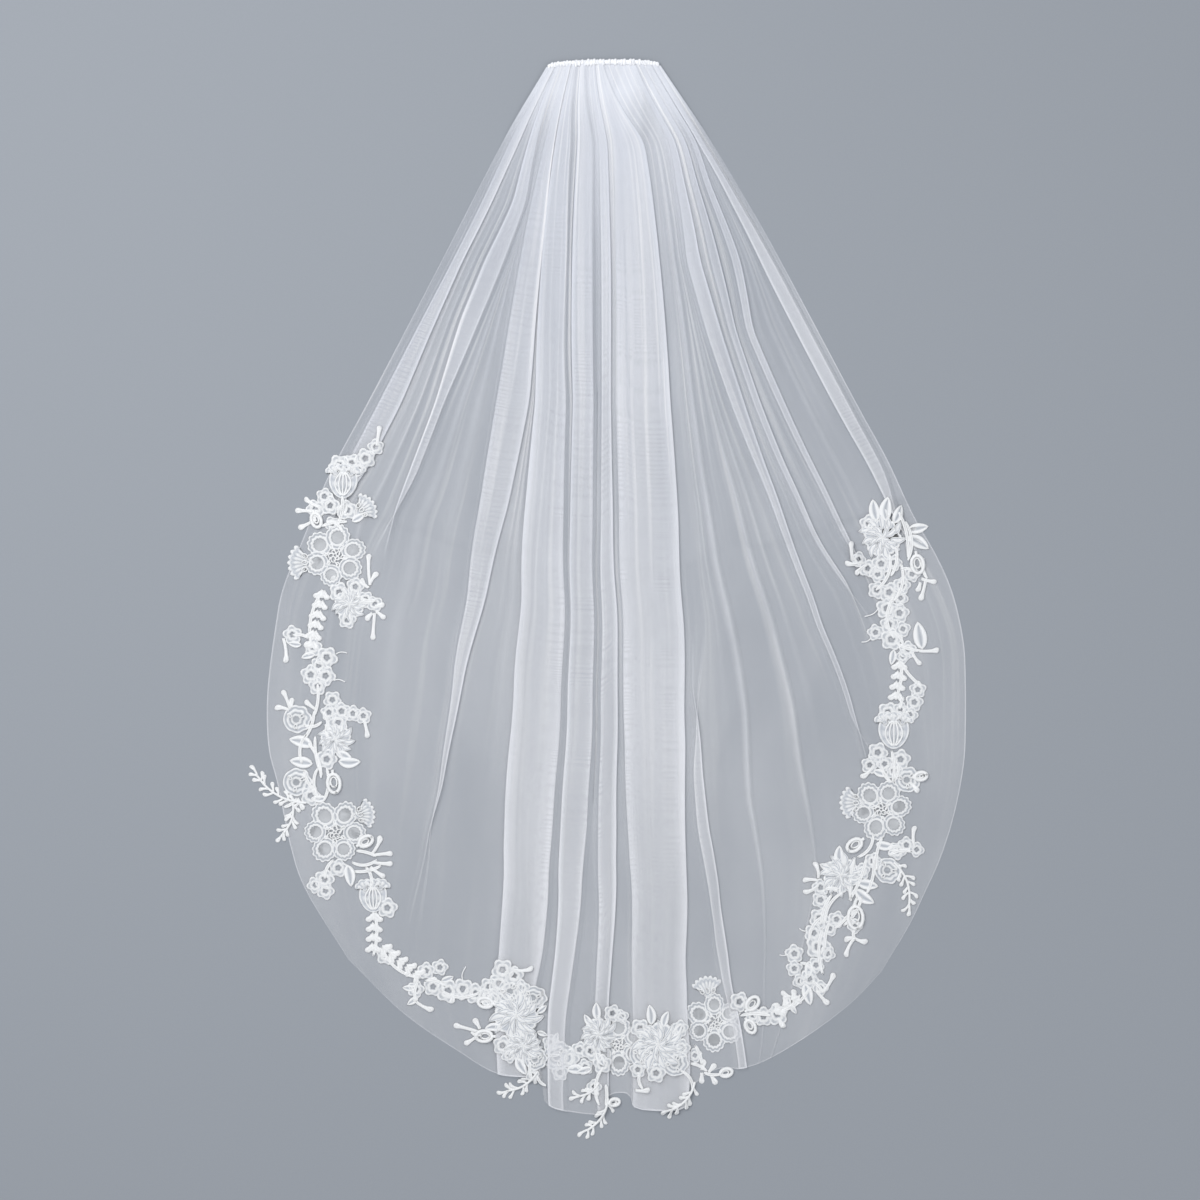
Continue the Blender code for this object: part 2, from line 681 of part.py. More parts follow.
def mesh_object(name, points, faces, look, parent):
    mesh = bpy.data.meshes.new(name)
    mesh.from_pydata([Vector(p) * MM for p in points], [], faces)
    mesh.materials.append(look)
    bm = bmesh.new()
    bm.from_mesh(mesh)
    bmesh.ops.triangulate(bm, faces=bm.faces[:], quad_method="SHORT_EDGE")
    bmesh.ops.recalc_face_normals(bm, faces=bm.faces[:])
    bm.to_mesh(mesh)
    bm.free()
    return link(bpy.data.objects.new(name, mesh), parent)


def tulle_panel(look, parent):
    tracks = fold_tracks()
    sides = [wall_faces(row_section(t, tracks)) for t in ROWS]
    columns = len(sides[0][0])
    points, index = [], {}
    for side in (0, 1):
        for r, row in enumerate(sides):
            for c, point in enumerate(row[side]):
                index[side, r, c] = len(points)
                points.append(point)
    faces = []
    for side in (0, 1):
        for r in range(len(ROWS) - 1):
            for c in range(columns - 1):
                faces.append([index[side, r + i, c + j] for i, j in ((0, 0), (1, 0), (1, 1), (0, 1))])
    last = len(ROWS) - 1
    rim = [(0, c) for c in range(columns)] + [(r, columns - 1) for r in range(1, last + 1)]
    rim += [(last, c) for c in reversed(range(columns - 1))] + [(r, 0) for r in reversed(range(1, last))]
    for (r, c), (r2, c2) in zip(rim, rim[1:] + rim[:1]):
        faces.append([index[0, r, c], index[0, r2, c2], index[1, r2, c2], index[1, r, c]])
    return mesh_object("tulle_panel", points, faces, look, parent)


def curve_object(name, points, look, parent):
    """A curve through the points, each x, y, z and radius. The caller gives it its thickness."""
    curve = bpy.data.curves.new(name, "CURVE")
    spline = curve.splines.new("POLY")
    spline.points.add(len(points) - 1)
    for point, (x, y, z, radius) in zip(spline.points, points):
        point.co = (x * MM, y * MM, z * MM, 1.0)
        point.radius = radius
    curve.materials.append(look)
    return link(bpy.data.objects.new(name, curve), parent)


def heading_gathers(look, parent):
    """The whipped roll: a bevelled curve along the panel's upper edge, drawn in between the scallops."""
    stations = ROLL_SCALLOPS * STATIONS_PER_SCALLOP
    points = []
    for s in range(stations + 1):
        across = ROLL_INSET + (1 - 2 * ROLL_INSET) * s / stations
        radius = ROLL_RADIUS * (1 - (1 - ROLL_END_SHARE) * (2 * across - 1) ** 10)
        if s % STATIONS_PER_SCALLOP == 0:
            radius -= SCALLOP_DEPTH
        x, y = place(across, 0.0)
        points.append((x, y + SEAM_GAP + radius, ROLL_Z, radius))
    roll = curve_object("heading_gathers", points, look, parent)
    roll.data.dimensions = "3D"
    roll.data.bevel_depth = MM
    roll.data.bevel_resolution = 2
    roll.data.use_fill_caps = True


def comb(look, parent):
    """One flat outline, spine and teeth, filled and thickened."""
    left = COMB_MIDDLE_X - COMB_LENGTH / 2
    root_y = COMB_BACK_Y - COMB_SPINE
    pitch = (COMB_LENGTH - TOOTH_ROOT) / (COMB_TEETH - 1)
    corner = COMB_SPINE / 3
    line = [(left + COMB_LENGTH, COMB_BACK_Y - corner), (left + COMB_LENGTH - corner, COMB_BACK_Y),
            (left + corner, COMB_BACK_Y), (left, COMB_BACK_Y - corner)]
    for tooth in range(COMB_TEETH):
        middle = left + TOOTH_ROOT / 2 + pitch * tooth
        line += [(middle - TOOTH_ROOT / 2, root_y), (middle - TOOTH_TIP / 2, root_y - TOOTH_LENGTH),
                 (middle + TOOTH_TIP / 2, root_y - TOOTH_LENGTH), (middle + TOOTH_ROOT / 2, root_y)]
    flat = curve_object("comb", [(x, y, 0.0, 1.0) for x, y in line], look, parent)
    flat.data.dimensions = "2D"
    flat.data.fill_mode = "BOTH"
    flat.data.extrude = COMB_THICK * MM / 2
    flat.data.splines[0].use_cyclic_u = True
    flat.location.z = COMB_THICK * MM / 2


# ---------------------------------------------------------------- lace motifs, as flat outlines in mm


def turned(points, x, y, degrees):
    c, s = math.cos(math.radians(degrees)), math.sin(math.radians(degrees))
    return [(x + px * c - py * s, y + px * s + py * c) for px, py in points]


def lobed(lobes, radius, waist):
    """A scalloped disc, with one point at each lobe's crown and one in each waist."""
    return [(r * math.cos(math.pi * k / lobes), r * math.sin(math.pi * k / lobes))
            for k in range(2 * lobes) for r in ((radius, radius * waist)[k % 2],)]


def leaf(length, width):
    return [(0, -0.2 * width), (0.45 * length, -0.5 * width), (length, 0), (0.45 * length, 0.5 * width),
            (0, 0.2 * width)]


def bulb(length):
    """A thin stalk that ends in a round knob."""
    stalk, knob = STEM_WIDTH * 0.4, BULB_RADIUS
    return [(-1, -stalk), (length - 2.4 * knob, -stalk), (length - knob, -knob), (length, 0),
            (length - knob, knob), (length - 2.4 * knob, stalk), (-1, stalk)]


def bud(length):
    width = 0.42 * length
    return [(0, -3), (0.25 * length, -0.9 * width), (0.7 * length, -width), (length, -0.45 * width),
            (length, 0.45 * width), (0.7 * length, width), (0.25 * length, 0.9 * width), (0, 3)]


def motif(kind, x, y, degrees, size):
    """Yields the motif's outlines, each with the places and heights of the points inside it."""
    if kind == "flower":
        petals = 6
        for k in range(petals):
            angle = degrees + 360 * k / petals
            middle = turned([(0.58 * size, 0)], x, y, angle)[0]
            yield turned(lobed(3, 0.43 * size, 0.94), *middle, angle), [(middle, LACE_DISH)]
        yield turned(lobed(3, 0.24 * size, 1.0), x, y, degrees), [((x, y), LACE_BOSS)]
    elif kind == "rose":
        yield turned(lobed(6, size, 0.86), x, y, degrees), [
            (p, LACE_BOSS) for p in turned(lobed(2, 0.4 * size, 1.0), x, y, degrees)]
    elif kind == "rosette":
        yield turned(lobed(5, size, 0.84), x, y, degrees), [((x, y), LACE_BOSS)]
    elif kind == "floret":
        yield turned(lobed(4, size, 0.78), x, y, degrees), []
    elif kind == "bud":
        yield turned(bud(size), x, y, degrees), [(turned([(0.5 * size, 0)], x, y, degrees)[0], LACE_BOSS)]
    elif kind == "leaf":
        yield turned(leaf(size, 0.46 * size), x, y, degrees), []
    elif kind == "bulb":
        yield turned(bulb(size), x, y, degrees), []
    elif kind == "stem":
        half = STEM_WIDTH / 2
        yield turned([(0, -half), (size, -half), (size, half), (0, half)], x, y, degrees), []
    elif kind == "run":
        half = STEM_WIDTH / 2
        yield turned([(0, -half), (size, -half), (size, half), (0, half)], x, y, degrees), []
        for k in range(max(int(size / LEAFLET_PITCH), 1)):
            root = turned([((k + 0.5) * LEAFLET_PITCH, 0)], x, y, degrees)[0]
            for side in (-1, 1):
                yield turned(leaf(LEAFLET_LENGTH, 6.0), *root, degrees + side * 52), []
    else:
        raise ValueError(kind)


def close_pinches(triangles, inside, points):
    """The triangles inside, with the least more that leaves no two of them meeting at one corner only."""
    inside = list(inside)
    around = {}
    for number, face in enumerate(triangles):
        for v in face:
            around.setdefault(v, []).append(number)

    def area(number):
        a, b, c = (points[v] for v in triangles[number])
        return abs((b[0] - a[0]) * (c[1] - a[1]) - (c[0] - a[0]) * (b[1] - a[1])) / 2

    def pinched(v):
        others = [w for n in around[v] if inside[n] for w in triangles[n] if w != v]
        return sum(others.count(w) == 1 for w in set(others)) > 2

    changed = True
    while changed:
        changed = False
        for v in sorted(around):
            while pinched(v):
                inside[min((n for n in around[v] if not inside[n]), key=area)] = True
                changed = True
    return [face for number, face in enumerate(triangles) if inside[number]]


def lace_length(name, rows, highest, look, parent):
    """One length of lace: its motifs' outlines joined in the plane, thickened, and laid over the tulle."""
    flat, loops, heights = [], [], {}
    for kind, x, y, degrees, size in rows:
        for outline, inner in motif(kind, x, y, degrees, size):
            loops.append(list(range(len(flat), len(flat) + len(outline))))
            flat += outline
            for point, height in inner:
                heights[len(flat)] = height
                flat.append(point)
    points, _, triangles, sources, _, owners = delaunay_2d_cdt([Vector(p) for p in flat], [], loops, 0, SNAP)
    kept = close_pinches([list(face) for face in triangles], [bool(owner) for owner in owners], points)
    used = sorted({v for face in kept for v in face})
    number = {v: k for k, v in enumerate(used)}
    rest = dict.fromkeys(used, 0.0)
    for face in kept:
        height = highest([points[v] for v in face])
        for v in face:
            rest[v] = max(rest[v], height)
    lower, upper = [], []
    for v in used:
        x, y = points[v]
        z = rest[v] + SEAM_GAP
        top = max([heights.get(s, LACE_THICK) for s in sources[v]] or [LACE_THICK])
        lower.append((x, y, z))
        upper.append((x, y, z + top))
    count = len(used)
    faces = []
    edges = {}
    for face in kept:
        a = [number[v] for v in face]
        faces.append([v + count for v in a])
        faces.append(a[::-1])
        for p, q in zip(a, a[1:] + a[:1]):
            edges[p, q] = True
    for p, q in edges:
        if (q, p) not in edges:
            faces.append([p, q, q + count, p + count])
    return mesh_object(name, lower + upper, faces, look, parent)


def tulle_under(panel):
    """A function that gives the highest tulle under a triangle of lace."""
    bm = bmesh.new()
    bm.from_mesh(panel.data)
    tree = BVHTree.FromBMesh(bm)
    bm.free()
    down, high = Vector((0, 0, -1)), 0.1
    around = [(0, 0), (DRAPE_STEP, 0), (-DRAPE_STEP, 0), (0, DRAPE_STEP), (0, -DRAPE_STEP)]

    def highest(corners):
        a, b, c = (Vector(p) for p in corners)
        steps = math.ceil(max((b - a).length, (c - b).length, (a - c).length) / DRAPE_STEP)
        best = WALL
        for i in range(steps + 1):
            for j in range(steps + 1 - i):
                x, y = a + (b - a) * (i / steps) + (c - a) * (j / steps)
                for dx, dy in around:
                    hit = tree.ray_cast(Vector(((x + dx) * MM, (y + dy) * MM, high)), down)[0]
                    if hit:
                        best = max(best, hit.z / MM)
        return best

    return highest


def main():
    for thing in list(bpy.data.objects):
        bpy.data.objects.remove(thing)
    bpy.context.scene.collection.children.link(bpy.data.collections.new("bridal_veil"))
    veil = link(bpy.data.objects.new("bridal_veil", None), None)
    veil.location = [part * MM for part in TO_MIDDLE]
    tulle = material("tulle", (0.86, 0.87, 0.9), 0.6, 0.55)
    lace = material("lace", (0.93, 0.93, 0.93), 0.75)
    plastic = material("clear_plastic", (0.85, 0.87, 0.88), 0.2, 0.6)
    panel = tulle_panel(tulle, veil)
    heading_gathers(tulle, veil)
    comb(plastic, veil)
    highest = tulle_under(panel)
    for name, rows in LACE.items():
        lace_length(name, rows, highest, lace, veil)


main()
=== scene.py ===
# %% [markdown]
# # A bridal veil, laid flat
# A one-tier veil is a single panel of soft tulle with rounded lower corners. Its straight top edge is
# gathered onto a small hair comb, so the cloth fans out from there in long pleats. A floral lace edging is
# sewn a little inside the cut edge. Here the veil lies on a table, face up, with its comb under the
# gathers.
#
# The lesson goes the way a maker would: the camera and the light first, then the tulle and how it folds,
# then the two fabrics' surfaces, then the lace, its flowers and its cords, and last the stitching at the
# heading. All tables are in millimetres, and meshes are made in metres.

# %% Load the veil's frame
import math

import bpy
import numpy as np
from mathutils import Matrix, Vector
from mathutils.bvhtree import BVHTree


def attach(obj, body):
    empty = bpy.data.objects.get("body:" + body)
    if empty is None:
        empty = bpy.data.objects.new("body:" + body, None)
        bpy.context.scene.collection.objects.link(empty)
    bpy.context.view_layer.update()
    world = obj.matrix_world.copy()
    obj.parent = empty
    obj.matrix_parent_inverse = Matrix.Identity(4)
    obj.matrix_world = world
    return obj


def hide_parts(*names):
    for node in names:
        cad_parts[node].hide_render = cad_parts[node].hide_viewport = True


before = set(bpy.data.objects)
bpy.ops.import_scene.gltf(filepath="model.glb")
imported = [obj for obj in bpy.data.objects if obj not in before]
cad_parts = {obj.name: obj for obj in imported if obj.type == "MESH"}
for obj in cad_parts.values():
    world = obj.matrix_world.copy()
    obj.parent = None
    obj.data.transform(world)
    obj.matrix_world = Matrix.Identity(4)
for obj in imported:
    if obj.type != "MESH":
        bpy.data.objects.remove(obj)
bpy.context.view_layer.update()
MM = 0.001
TO_MIDDLE = (1.59, 0.22)  # from the tables' own zero to the middle of the veil's footprint

# %% [markdown]
# ## The camera, the table and the light
# A veil laid flat is looked at from straight above. A long lens far away keeps the view almost parallel, so
# the picture is like a pattern sheet. The table is plain and pale grey, darker than the cloth, because
# white tulle only shows against something that isn't white. One large soft light stands to the upper left,
# to give the corded lace its small shadows, and a weaker one on the right keeps those shadows open.

# %% Camera, table, lights
LENS = 85.0
SENSOR = 36.0
VIEW_WIDTH = 1.05  # how much of the table the picture takes in
VIEW_MIDDLE = (-5.4, -2.4)
KEY = dict(place=(-0.85, 0.8, 1.9), size=1.4, power=34.0)
FILL = dict(place=(1.2, -0.6, 1.9), size=2.0, power=12.0)
TABLE_COLOUR = (0.285, 0.305, 0.335)
TABLE_REACH = 40.0  # m, far past the picture on every side
GRAIN_SCALE = 900.0
GRAIN_DEPTH = 0.00005
GRAIN_SHADES = (0.96, 1.04)  # how much darker and lighter than its colour the paper's grain is
SKY_COLOUR, SKY_POWER = (0.9, 0.94, 1.0, 1.0), 0.52
LAYERS_SEEN = 48  # how many see-through surfaces one line of sight may pass


def area_light(name, place, size, power):
    """A square soft light that faces the middle of the table."""
    lamp = bpy.data.lights.new(name, "AREA")
    lamp.size = size
    lamp.energy = power
    holder = bpy.data.objects.new(name, lamp)
    holder.location = place
    holder.rotation_euler = (-Vector(place)).to_track_quat("-Z", "Y").to_euler()
    bpy.context.scene.collection.objects.link(holder)
    return holder


def make_camera():
    """A long lens straight above the veil."""
    lens = bpy.data.cameras.new("camera")
    lens.lens = LENS
    lens.sensor_width = SENSOR
    holder = bpy.data.objects.new("camera", lens)
    holder.location = (VIEW_MIDDLE[0] * MM, VIEW_MIDDLE[1] * MM, VIEW_WIDTH * LENS / SENSOR)
    bpy.context.scene.collection.objects.link(holder)
    bpy.context.scene.camera = holder


def make_table():
    """The table top, with the faint grain of paper."""
    mesh = bpy.data.meshes.new("table")
    corners = ((-1, -1), (1, -1), (1, 1), (-1, 1))
    mesh.from_pydata([(x * TABLE_REACH, y * TABLE_REACH, 0.0) for x, y in corners], [], [(0, 1, 2, 3)])
    table = bpy.data.objects.new("table", mesh)
    bpy.context.scene.collection.objects.link(table)
    look = bpy.data.materials.new("table_paper")
    look.use_nodes = True
    nodes, links = look.node_tree.nodes, look.node_tree.links
    shader, grain = nodes["Principled BSDF"], nodes.new("ShaderNodeTexNoise")
    where, tint = nodes.new("ShaderNodeTexCoord"), nodes.new("ShaderNodeValToRGB")
    fibre = nodes.new("ShaderNodeBump")
    grain.inputs["Scale"].default_value = GRAIN_SCALE
    links.new(where.outputs["Object"], grain.inputs["Vector"])
    for stop, share in zip(tint.color_ramp.elements, GRAIN_SHADES):
        stop.color = (*(share * value for value in TABLE_COLOUR), 1.0)
    links.new(grain.outputs["Fac"], tint.inputs[0])
    links.new(tint.outputs[0], shader.inputs["Base Color"])
    fibre.inputs["Distance"].default_value = GRAIN_DEPTH
    links.new(grain.outputs["Fac"], fibre.inputs["Height"])
    links.new(fibre.outputs[0], shader.inputs["Normal"])
    shader.inputs["Roughness"].default_value = 0.85
    mesh.materials.append(look)


make_camera()
make_table()
area_light("key_light", **KEY)
area_light("fill_light", **FILL)
world = bpy.data.worlds.new("studio")
world.use_nodes = True
world.node_tree.nodes["Background"].inputs["Color"].default_value = SKY_COLOUR
world.node_tree.nodes["Background"].inputs["Strength"].default_value = SKY_POWER
bpy.context.scene.world = world
bpy.context.scene.view_settings.view_transform = "Standard"
bpy.context.scene.cycles.transparent_max_bounces = LAYERS_SEEN
print("camera", round(bpy.context.scene.camera.location.z, 3), "m above the table")

# %% [markdown]
# ## The outline of the tulle as it lies
# Three smooth curves bound the panel: its left side, its hem and its right side. The heading joins the tops
# of the sides with a low arch. A place on the cloth is then given by two numbers from 0 to 1: across, from
# the left side to the right, and down, from the heading to the hem. Blending the four edges, which surface
# modellers call a Coons patch, turns these into a place on the table. Lines of one across then fan out from
# the comb to the hem, just as the threads of the real tulle do, and every fold can follow them.

# %% The edges of the panel
HEADING_LEFT = (-54.0, 463.0)
HEADING_RIGHT = (46.0, 464.5)
HEADING_ARCH = 2.6  # how far the middle of the heading stands above the line between its ends
HEADING_MARGIN = 1.5  # plain cloth beside the first and the last pleat
LEFT_SIDE = (
    HEADING_LEFT, (-92, 398), (-145, 295), (-205, 180), (-245, 105), (-266, 53), (-284, 9), (-291, -26),
    (-298, -84), (-297, -131), (-289, -164), (-277, -221), (-263, -259), (-227, -317),
)
HEM = (
    (-227, -317), (-179, -364), (-130, -398), (-97, -417), (-60, -422), (-55, -441), (-40, -449),
    (-5, -452), (1, -436), (18, -435), (23, -446), (40, -449), (66, -447), (76, -426), (96, -413),
    (119, -412), (143, -403), (179, -381), (214, -354), (239, -328),
)
RIGHT_SIDE = (
    HEADING_RIGHT, (89, 400), (121, 347), (151, 294), (216, 172), (244, 121), (267, 72), (288, 35),
    (302, 2), (311, -38), (313, -73), (313, -119), (311, -149), (303, -190), (291, -228), (277, -259),
    (263, -288), (239, -328),
)


def smooth_line(points, count):
    """A Catmull-Rom curve through the points, as count places evenly spaced along it."""
    p = np.array(points, float)
    ends = np.vstack([2 * p[0] - p[1], p, 2 * p[-1] - p[-2]])
    fine = []
    for a, b, c, d in zip(ends, ends[1:], ends[2:], ends[3:]):
        for s in np.linspace(0, 1, 12, endpoint=False):
            fine.append(0.5 * (2 * b + (c - a) * s + (2 * a - 5 * b + 4 * c - d) * s**2
                               + (3 * b - a - 3 * c + d) * s**3))
    fine = np.array(fine + [p[-1]])
    length = np.r_[0, np.cumsum(np.hypot(*np.diff(fine, axis=0).T))]
    at = np.linspace(0, length[-1], count)
    return np.column_stack([np.interp(at, length, fine[:, 0]), np.interp(at, length, fine[:, 1])])


SHARES = np.linspace(0, 1, 801)
LEFT, HEM_LINE, RIGHT = (smooth_line(points, len(SHARES)) for points in (LEFT_SIDE, HEM, RIGHT_SIDE))


def on_curve(curve, share):
    """Places on an edge of the panel, at shares of the way along it."""
    return np.stack([np.interp(share, SHARES, curve[:, k]) for k in (0, 1)], axis=-1)


def place(across, down):
    """The x, y in mm of places on the panel, for arrays of across and down."""
    across, down = np.broadcast_arrays(np.asarray(across, float), np.asarray(down, float))
    a, d = across[..., None], down[..., None]
    chord = LEFT[0] + (RIGHT[0] - LEFT[0]) * a
    rise = np.concatenate([0 * a, HEADING_ARCH * (1 - (2 * a - 1) ** 6)], axis=-1)
    sides = on_curve(LEFT, down) * (1 - a) + on_curve(RIGHT, down) * a
    ends = (chord + rise) * (1 - d) + on_curve(HEM_LINE, across) * d
    corners = chord * (1 - d) + (LEFT[-1] + (RIGHT[-1] - LEFT[-1]) * a) * d
    return sides + ends - corners


def find(x, y):
    """The across and down of a point, by Newton's method from the nearest of a few places."""
    target = np.array([x, y], float)
    grid = np.array([(a / 10, d / 10) for a in range(11) for d in range(11)])
    at = grid[np.argmin(np.hypot(*(place(grid[:, 0], grid[:, 1]) - target).T))].copy()
    step, haste = 0.002, 0.7
    for _ in range(30):
        here = place(*at)
        moved = (place(at[0] + step, at[1]), place(at[0], at[1] + step))
        slopes = np.column_stack([there - here for there in moved]) / step
        at = np.clip(at - haste * np.linalg.solve(slopes, here - target), 0.0, 1.0)
    return float(at[0]), float(at[1])


print("sides", round(float(np.hypot(*np.diff(LEFT, axis=0).T).sum())), "and",
      round(float(np.hypot(*np.diff(RIGHT, axis=0).T).sum())), "mm, hem",
      round(float(np.hypot(*np.diff(HEM_LINE, axis=0).T).sum())), "mm")

# %% [markdown]
# ## Where the cloth folds
# A flat pleat is three layers of cloth: it runs on to a hidden edge, turns back to an edge that shows, and
# turns again. Each pleat of the veil is a row of this table: which way its open edge faces, and where its
# left and right edges lie at a few heights. Where left passes right, the pleat has opened out and the cloth
# is smooth again. A facing of 0 is a soft ridge with no layers. Between the pleats the cloth still carries
# the small gathers of the heading, as low ridges that fade on their way down.

# %% The pleats and the gathers
WALL = 1.0  # room that one layer of soft cloth takes up
LAYER = WALL + 0.3  # rise from one layer to the next
CREST_RUN = 1.4  # how far the top layer runs past the open edge before it slopes down
RAMP_RUN = 1.6  # run of the slope back to the table
RAMP_RELAX = 3.0  # further run of the slope at the hem, where the cloth lies looser
NARROW, WIDE = 2.0, 8.0  # mm: below the first a pleat's middle layer climbs, above the second it lies flat
OPEN_OUT = 8.0  # how far left has to pass right until the pleat has opened out
OPEN_SPREAD = (-4.0, -1.0, 0.0, 1.5, 3.5, 6.0)  # where the columns of a pleat's turns go as it opens out
FULL_ROW = 600.0  # a row of this length gives them all that room, and a shorter one less
RIDGE_SLOPE = 0.312  # height of a ridge for each mm of its width
GATHER_SLOPE = 0.4  # a gather is never taller than this share of its width
GATHER_ROOM = 0.55  # share of a gather's width that is kept clear of the plain columns on each side
# Columns: name, facing, then its rows of y, left edge x, right edge x.
FOLDS = (
    ("left_side", 1,
     ((400, -84, -77), (347, -109, -101), (295, -135, -127), (234, -167, -154), (172, -199, -180),
      (110, -231, -212), (60, -238, -246))),
    ("left_outer", -1,
     ((347, -82, -72), (295, -107, -91), (244, -128, -112), (172, -150, -143), (105, -175, -169),
      (37, -196, -204))),
    ("left_inner", 1,
     ((328, -70, -55), (207, -91, -66), (172, -97, -69), (79, -112, -88), (-3, -123, -108), (-84, -136, -129),
      (-166, -147, -145), (-300, -168, -176))),
    ("band_a", -1,
     ((400, -45, -33), (172, -63, -37), (-3, -75, -38), (-103, -83, -42), (-204, -90, -49), (-315, -95, -58),
      (-418, -96, -60))),
    ("band_b", -1,
     ((400, -26, -14), (172, -30, -13), (-3, -32, -13), (-103, -35, -14), (-204, -41, -19), (-315, -46, -30),
      (-440, -52, -40))),
    ("band_c", 1,
     ((400, -7, -1), (172, -5, 2), (-3, -5, 7), (-103, -6, 8), (-204, -8, 7), (-315, -9, 3), (-440, -9, 0))),
    ("band_d", 1,
     ((400, 5, 31), (302, 7, 44), (172, 8, 54), (-3, 13, 64), (-103, 14, 66), (-204, 18, 67), (-315, 21, 67),
      (-440, 22, 70))),
    ("diagonal", 1,
     ((400, 38, 36), (302, 50, 47), (172, 63, 58), (-20, 82, 74), (-80, 78, 74), (-150, 75, 82),
      (-204, 79, 88), (-270, 90, 98), (-347, 103, 109), (-412, 115, 121))),
    ("soft_near", 0,
     ((400, 41, 44), (364, 47, 51), (300, 55, 60), (260, 60, 67), (172, 70, 78), (102, 79, 88),
      (-14, 99, 111), (-175, 119, 128), (-300, 136, 139), (-412, 131, 134))),
    ("soft_far", 0,
     ((400, 45, 47), (300, 61, 63), (172, 88, 91), (112, 101, 109), (32, 121, 131), (-49, 144, 155),
      (-143, 162, 172), (-240, 181, 184))),
    ("long_right", 1,
     ((400, 54, 58), (364, 60, 66), (295, 69, 80), (234, 86, 98), (172, 107, 118), (105, 134, 141),
      (37, 160, 165), (-26, 183, 187), (-103, 212, 215), (-150, 237, 229))),
    ("mid_right", 1,
     ((400, 64, 67), (364, 73, 77), (295, 90, 97), (234, 106, 111), (172, 127, 132), (112, 152, 156),
      (56, 178, 181), (18, 202, 205), (-30, 234, 226), (-150, 257, 249))),
    ("outer_right", 1,
     ((400, 73, 76), (364, 84, 88), (295, 109, 115), (234, 121, 126), (172, 148, 153), (112, 177, 181),
      (50, 208, 211), (0, 241, 233), (-150, 277, 269))),
    ("right_side", -1,
     ((370, 95, 100), (278, 141, 152), (172, 196, 208), (105, 233, 243), (30, 275, 267), (-30, 301, 293),
      (-150, 303, 295))),
)
# One group for each space between pleats, from the left side to the right. Columns: share of the way across
# the space, share of its width, height in mm, and the downs at which the gather is fullest and has faded.
GATHERS = (
    ((0.20, 0.16, 1.2, 0.10, 0.50), (0.45, 0.20, 1.6, 0.20, 0.70), (0.72, 0.16, 1.4, 0.15, 0.55)),
    ((0.22, 0.20, 1.6, 0.20, 0.60), (0.52, 0.22, 2.2, 0.30, 0.85), (0.82, 0.16, 1.4, 0.12, 0.50)),
    ((0.30, 0.26, 2.2, 0.30, 0.80), (0.70, 0.30, 2.0, 0.25, 0.60)),
    ((0.20, 0.18, 1.5, 0.20, 0.45), (0.48, 0.20, 1.8, 0.25, 0.70), (0.76, 0.22, 1.6, 0.15, 0.90)),
    ((0.50, 0.50, 1.0, 0.20, 0.60),),
    ((0.50, 0.40, 1.2, 0.20, 0.60),),
    ((0.50, 0.50, 1.0, 0.25, 0.50),),
    ((0.32, 0.26, 1.4, 0.20, 0.70), (0.72, 0.24, 1.0, 0.30, 0.55)),
    ((0.35, 0.30, 1.4, 0.20, 0.65), (0.72, 0.24, 1.2, 0.30, 0.80)),
    ((0.50, 0.34, 1.0, 0.20, 0.55),),
    ((0.30, 0.26, 1.6, 0.30, 0.85), (0.68, 0.24, 1.8, 0.20, 0.60)),
    ((0.35, 0.30, 1.6, 0.20, 0.60), (0.72, 0.24, 1.4, 0.35, 0.85)),
    ((0.30, 0.26, 1.6, 0.18, 0.55), (0.70, 0.26, 1.2, 0.25, 0.75)),
    ((0.20, 0.18, 1.4, 0.15, 0.45), (0.46, 0.20, 1.8, 0.25, 0.70), (0.76, 0.20, 1.4, 0.20, 0.50)),
    ((0.30, 0.28, 1.2, 0.20, 0.60), (0.68, 0.26, 1.2, 0.15, 0.45)),
)
ROWS = 148
ROW_CROWDING = 1.15  # above 1, rows crowd towards the heading
LAST_STRIP = 0.9985  # down of the row before the last; the strip below it is the cut edge
DOWN = np.insert(np.linspace(0, 1, ROWS - 1) ** ROW_CROWDING, ROWS - 2, LAST_STRIP)


def heading_slots():
    """The left and right across of each pleat at the heading: side by side, each with room for its slope."""
    length = math.dist(HEADING_LEFT, HEADING_RIGHT)
    ramp = CREST_RUN + RAMP_RUN
    slot = (length - 2 * HEADING_MARGIN) / len(FOLDS)
    slots = []
    for number, (_, facing, _) in enumerate(FOLDS):
        left = HEADING_MARGIN + slot * number + WALL + ramp * (facing + 1) / 2
        slots.append((left / length, (left + slot - ramp - 2 * WALL) / length))
    return slots


def softened(values, reach=0.018):
    """Values on DOWN with their corners rounded over a reach of down. The first stays where it is."""
    steps = 400
    even = np.linspace(0, 1, steps + 1)
    dense = np.interp(even, DOWN, values)
    width = int(reach * steps)
    weights = np.hanning(2 * width + 3)[1:-1]
    padded = np.r_[2 * dense[0] - dense[width:0:-1], dense, 2 * dense[-1] - dense[-2:-width - 2:-1]]
    return np.interp(DOWN, even, np.convolve(padded, weights / weights.sum(), "valid"))


def fold_tracks():
    """For each pleat, the across of its left and right edges on every row."""
    tracks = []
    for slot, (_, _, rows) in zip(heading_slots(), FOLDS):
        opened = rows[0][1] > rows[0][2]
        edges = []
        for edge, start in zip((1, 2), slot[::-1] if opened else slot):
            found = [find(row[edge], row[0]) for row in rows]
            line = np.interp(DOWN, [0.0] + [d for _, d in found], [start] + [a for a, _ in found])
            edges.append(softened(line))
        tracks.append(edges)
    return tracks


TRACKS = fold_tracks()
print(sum(facing != 0 for _, facing, _ in FOLDS), "pleats,", sum(facing == 0 for _, facing, _ in FOLDS),
      "ridges and", sum(map(len, GATHERS)), "gathers")

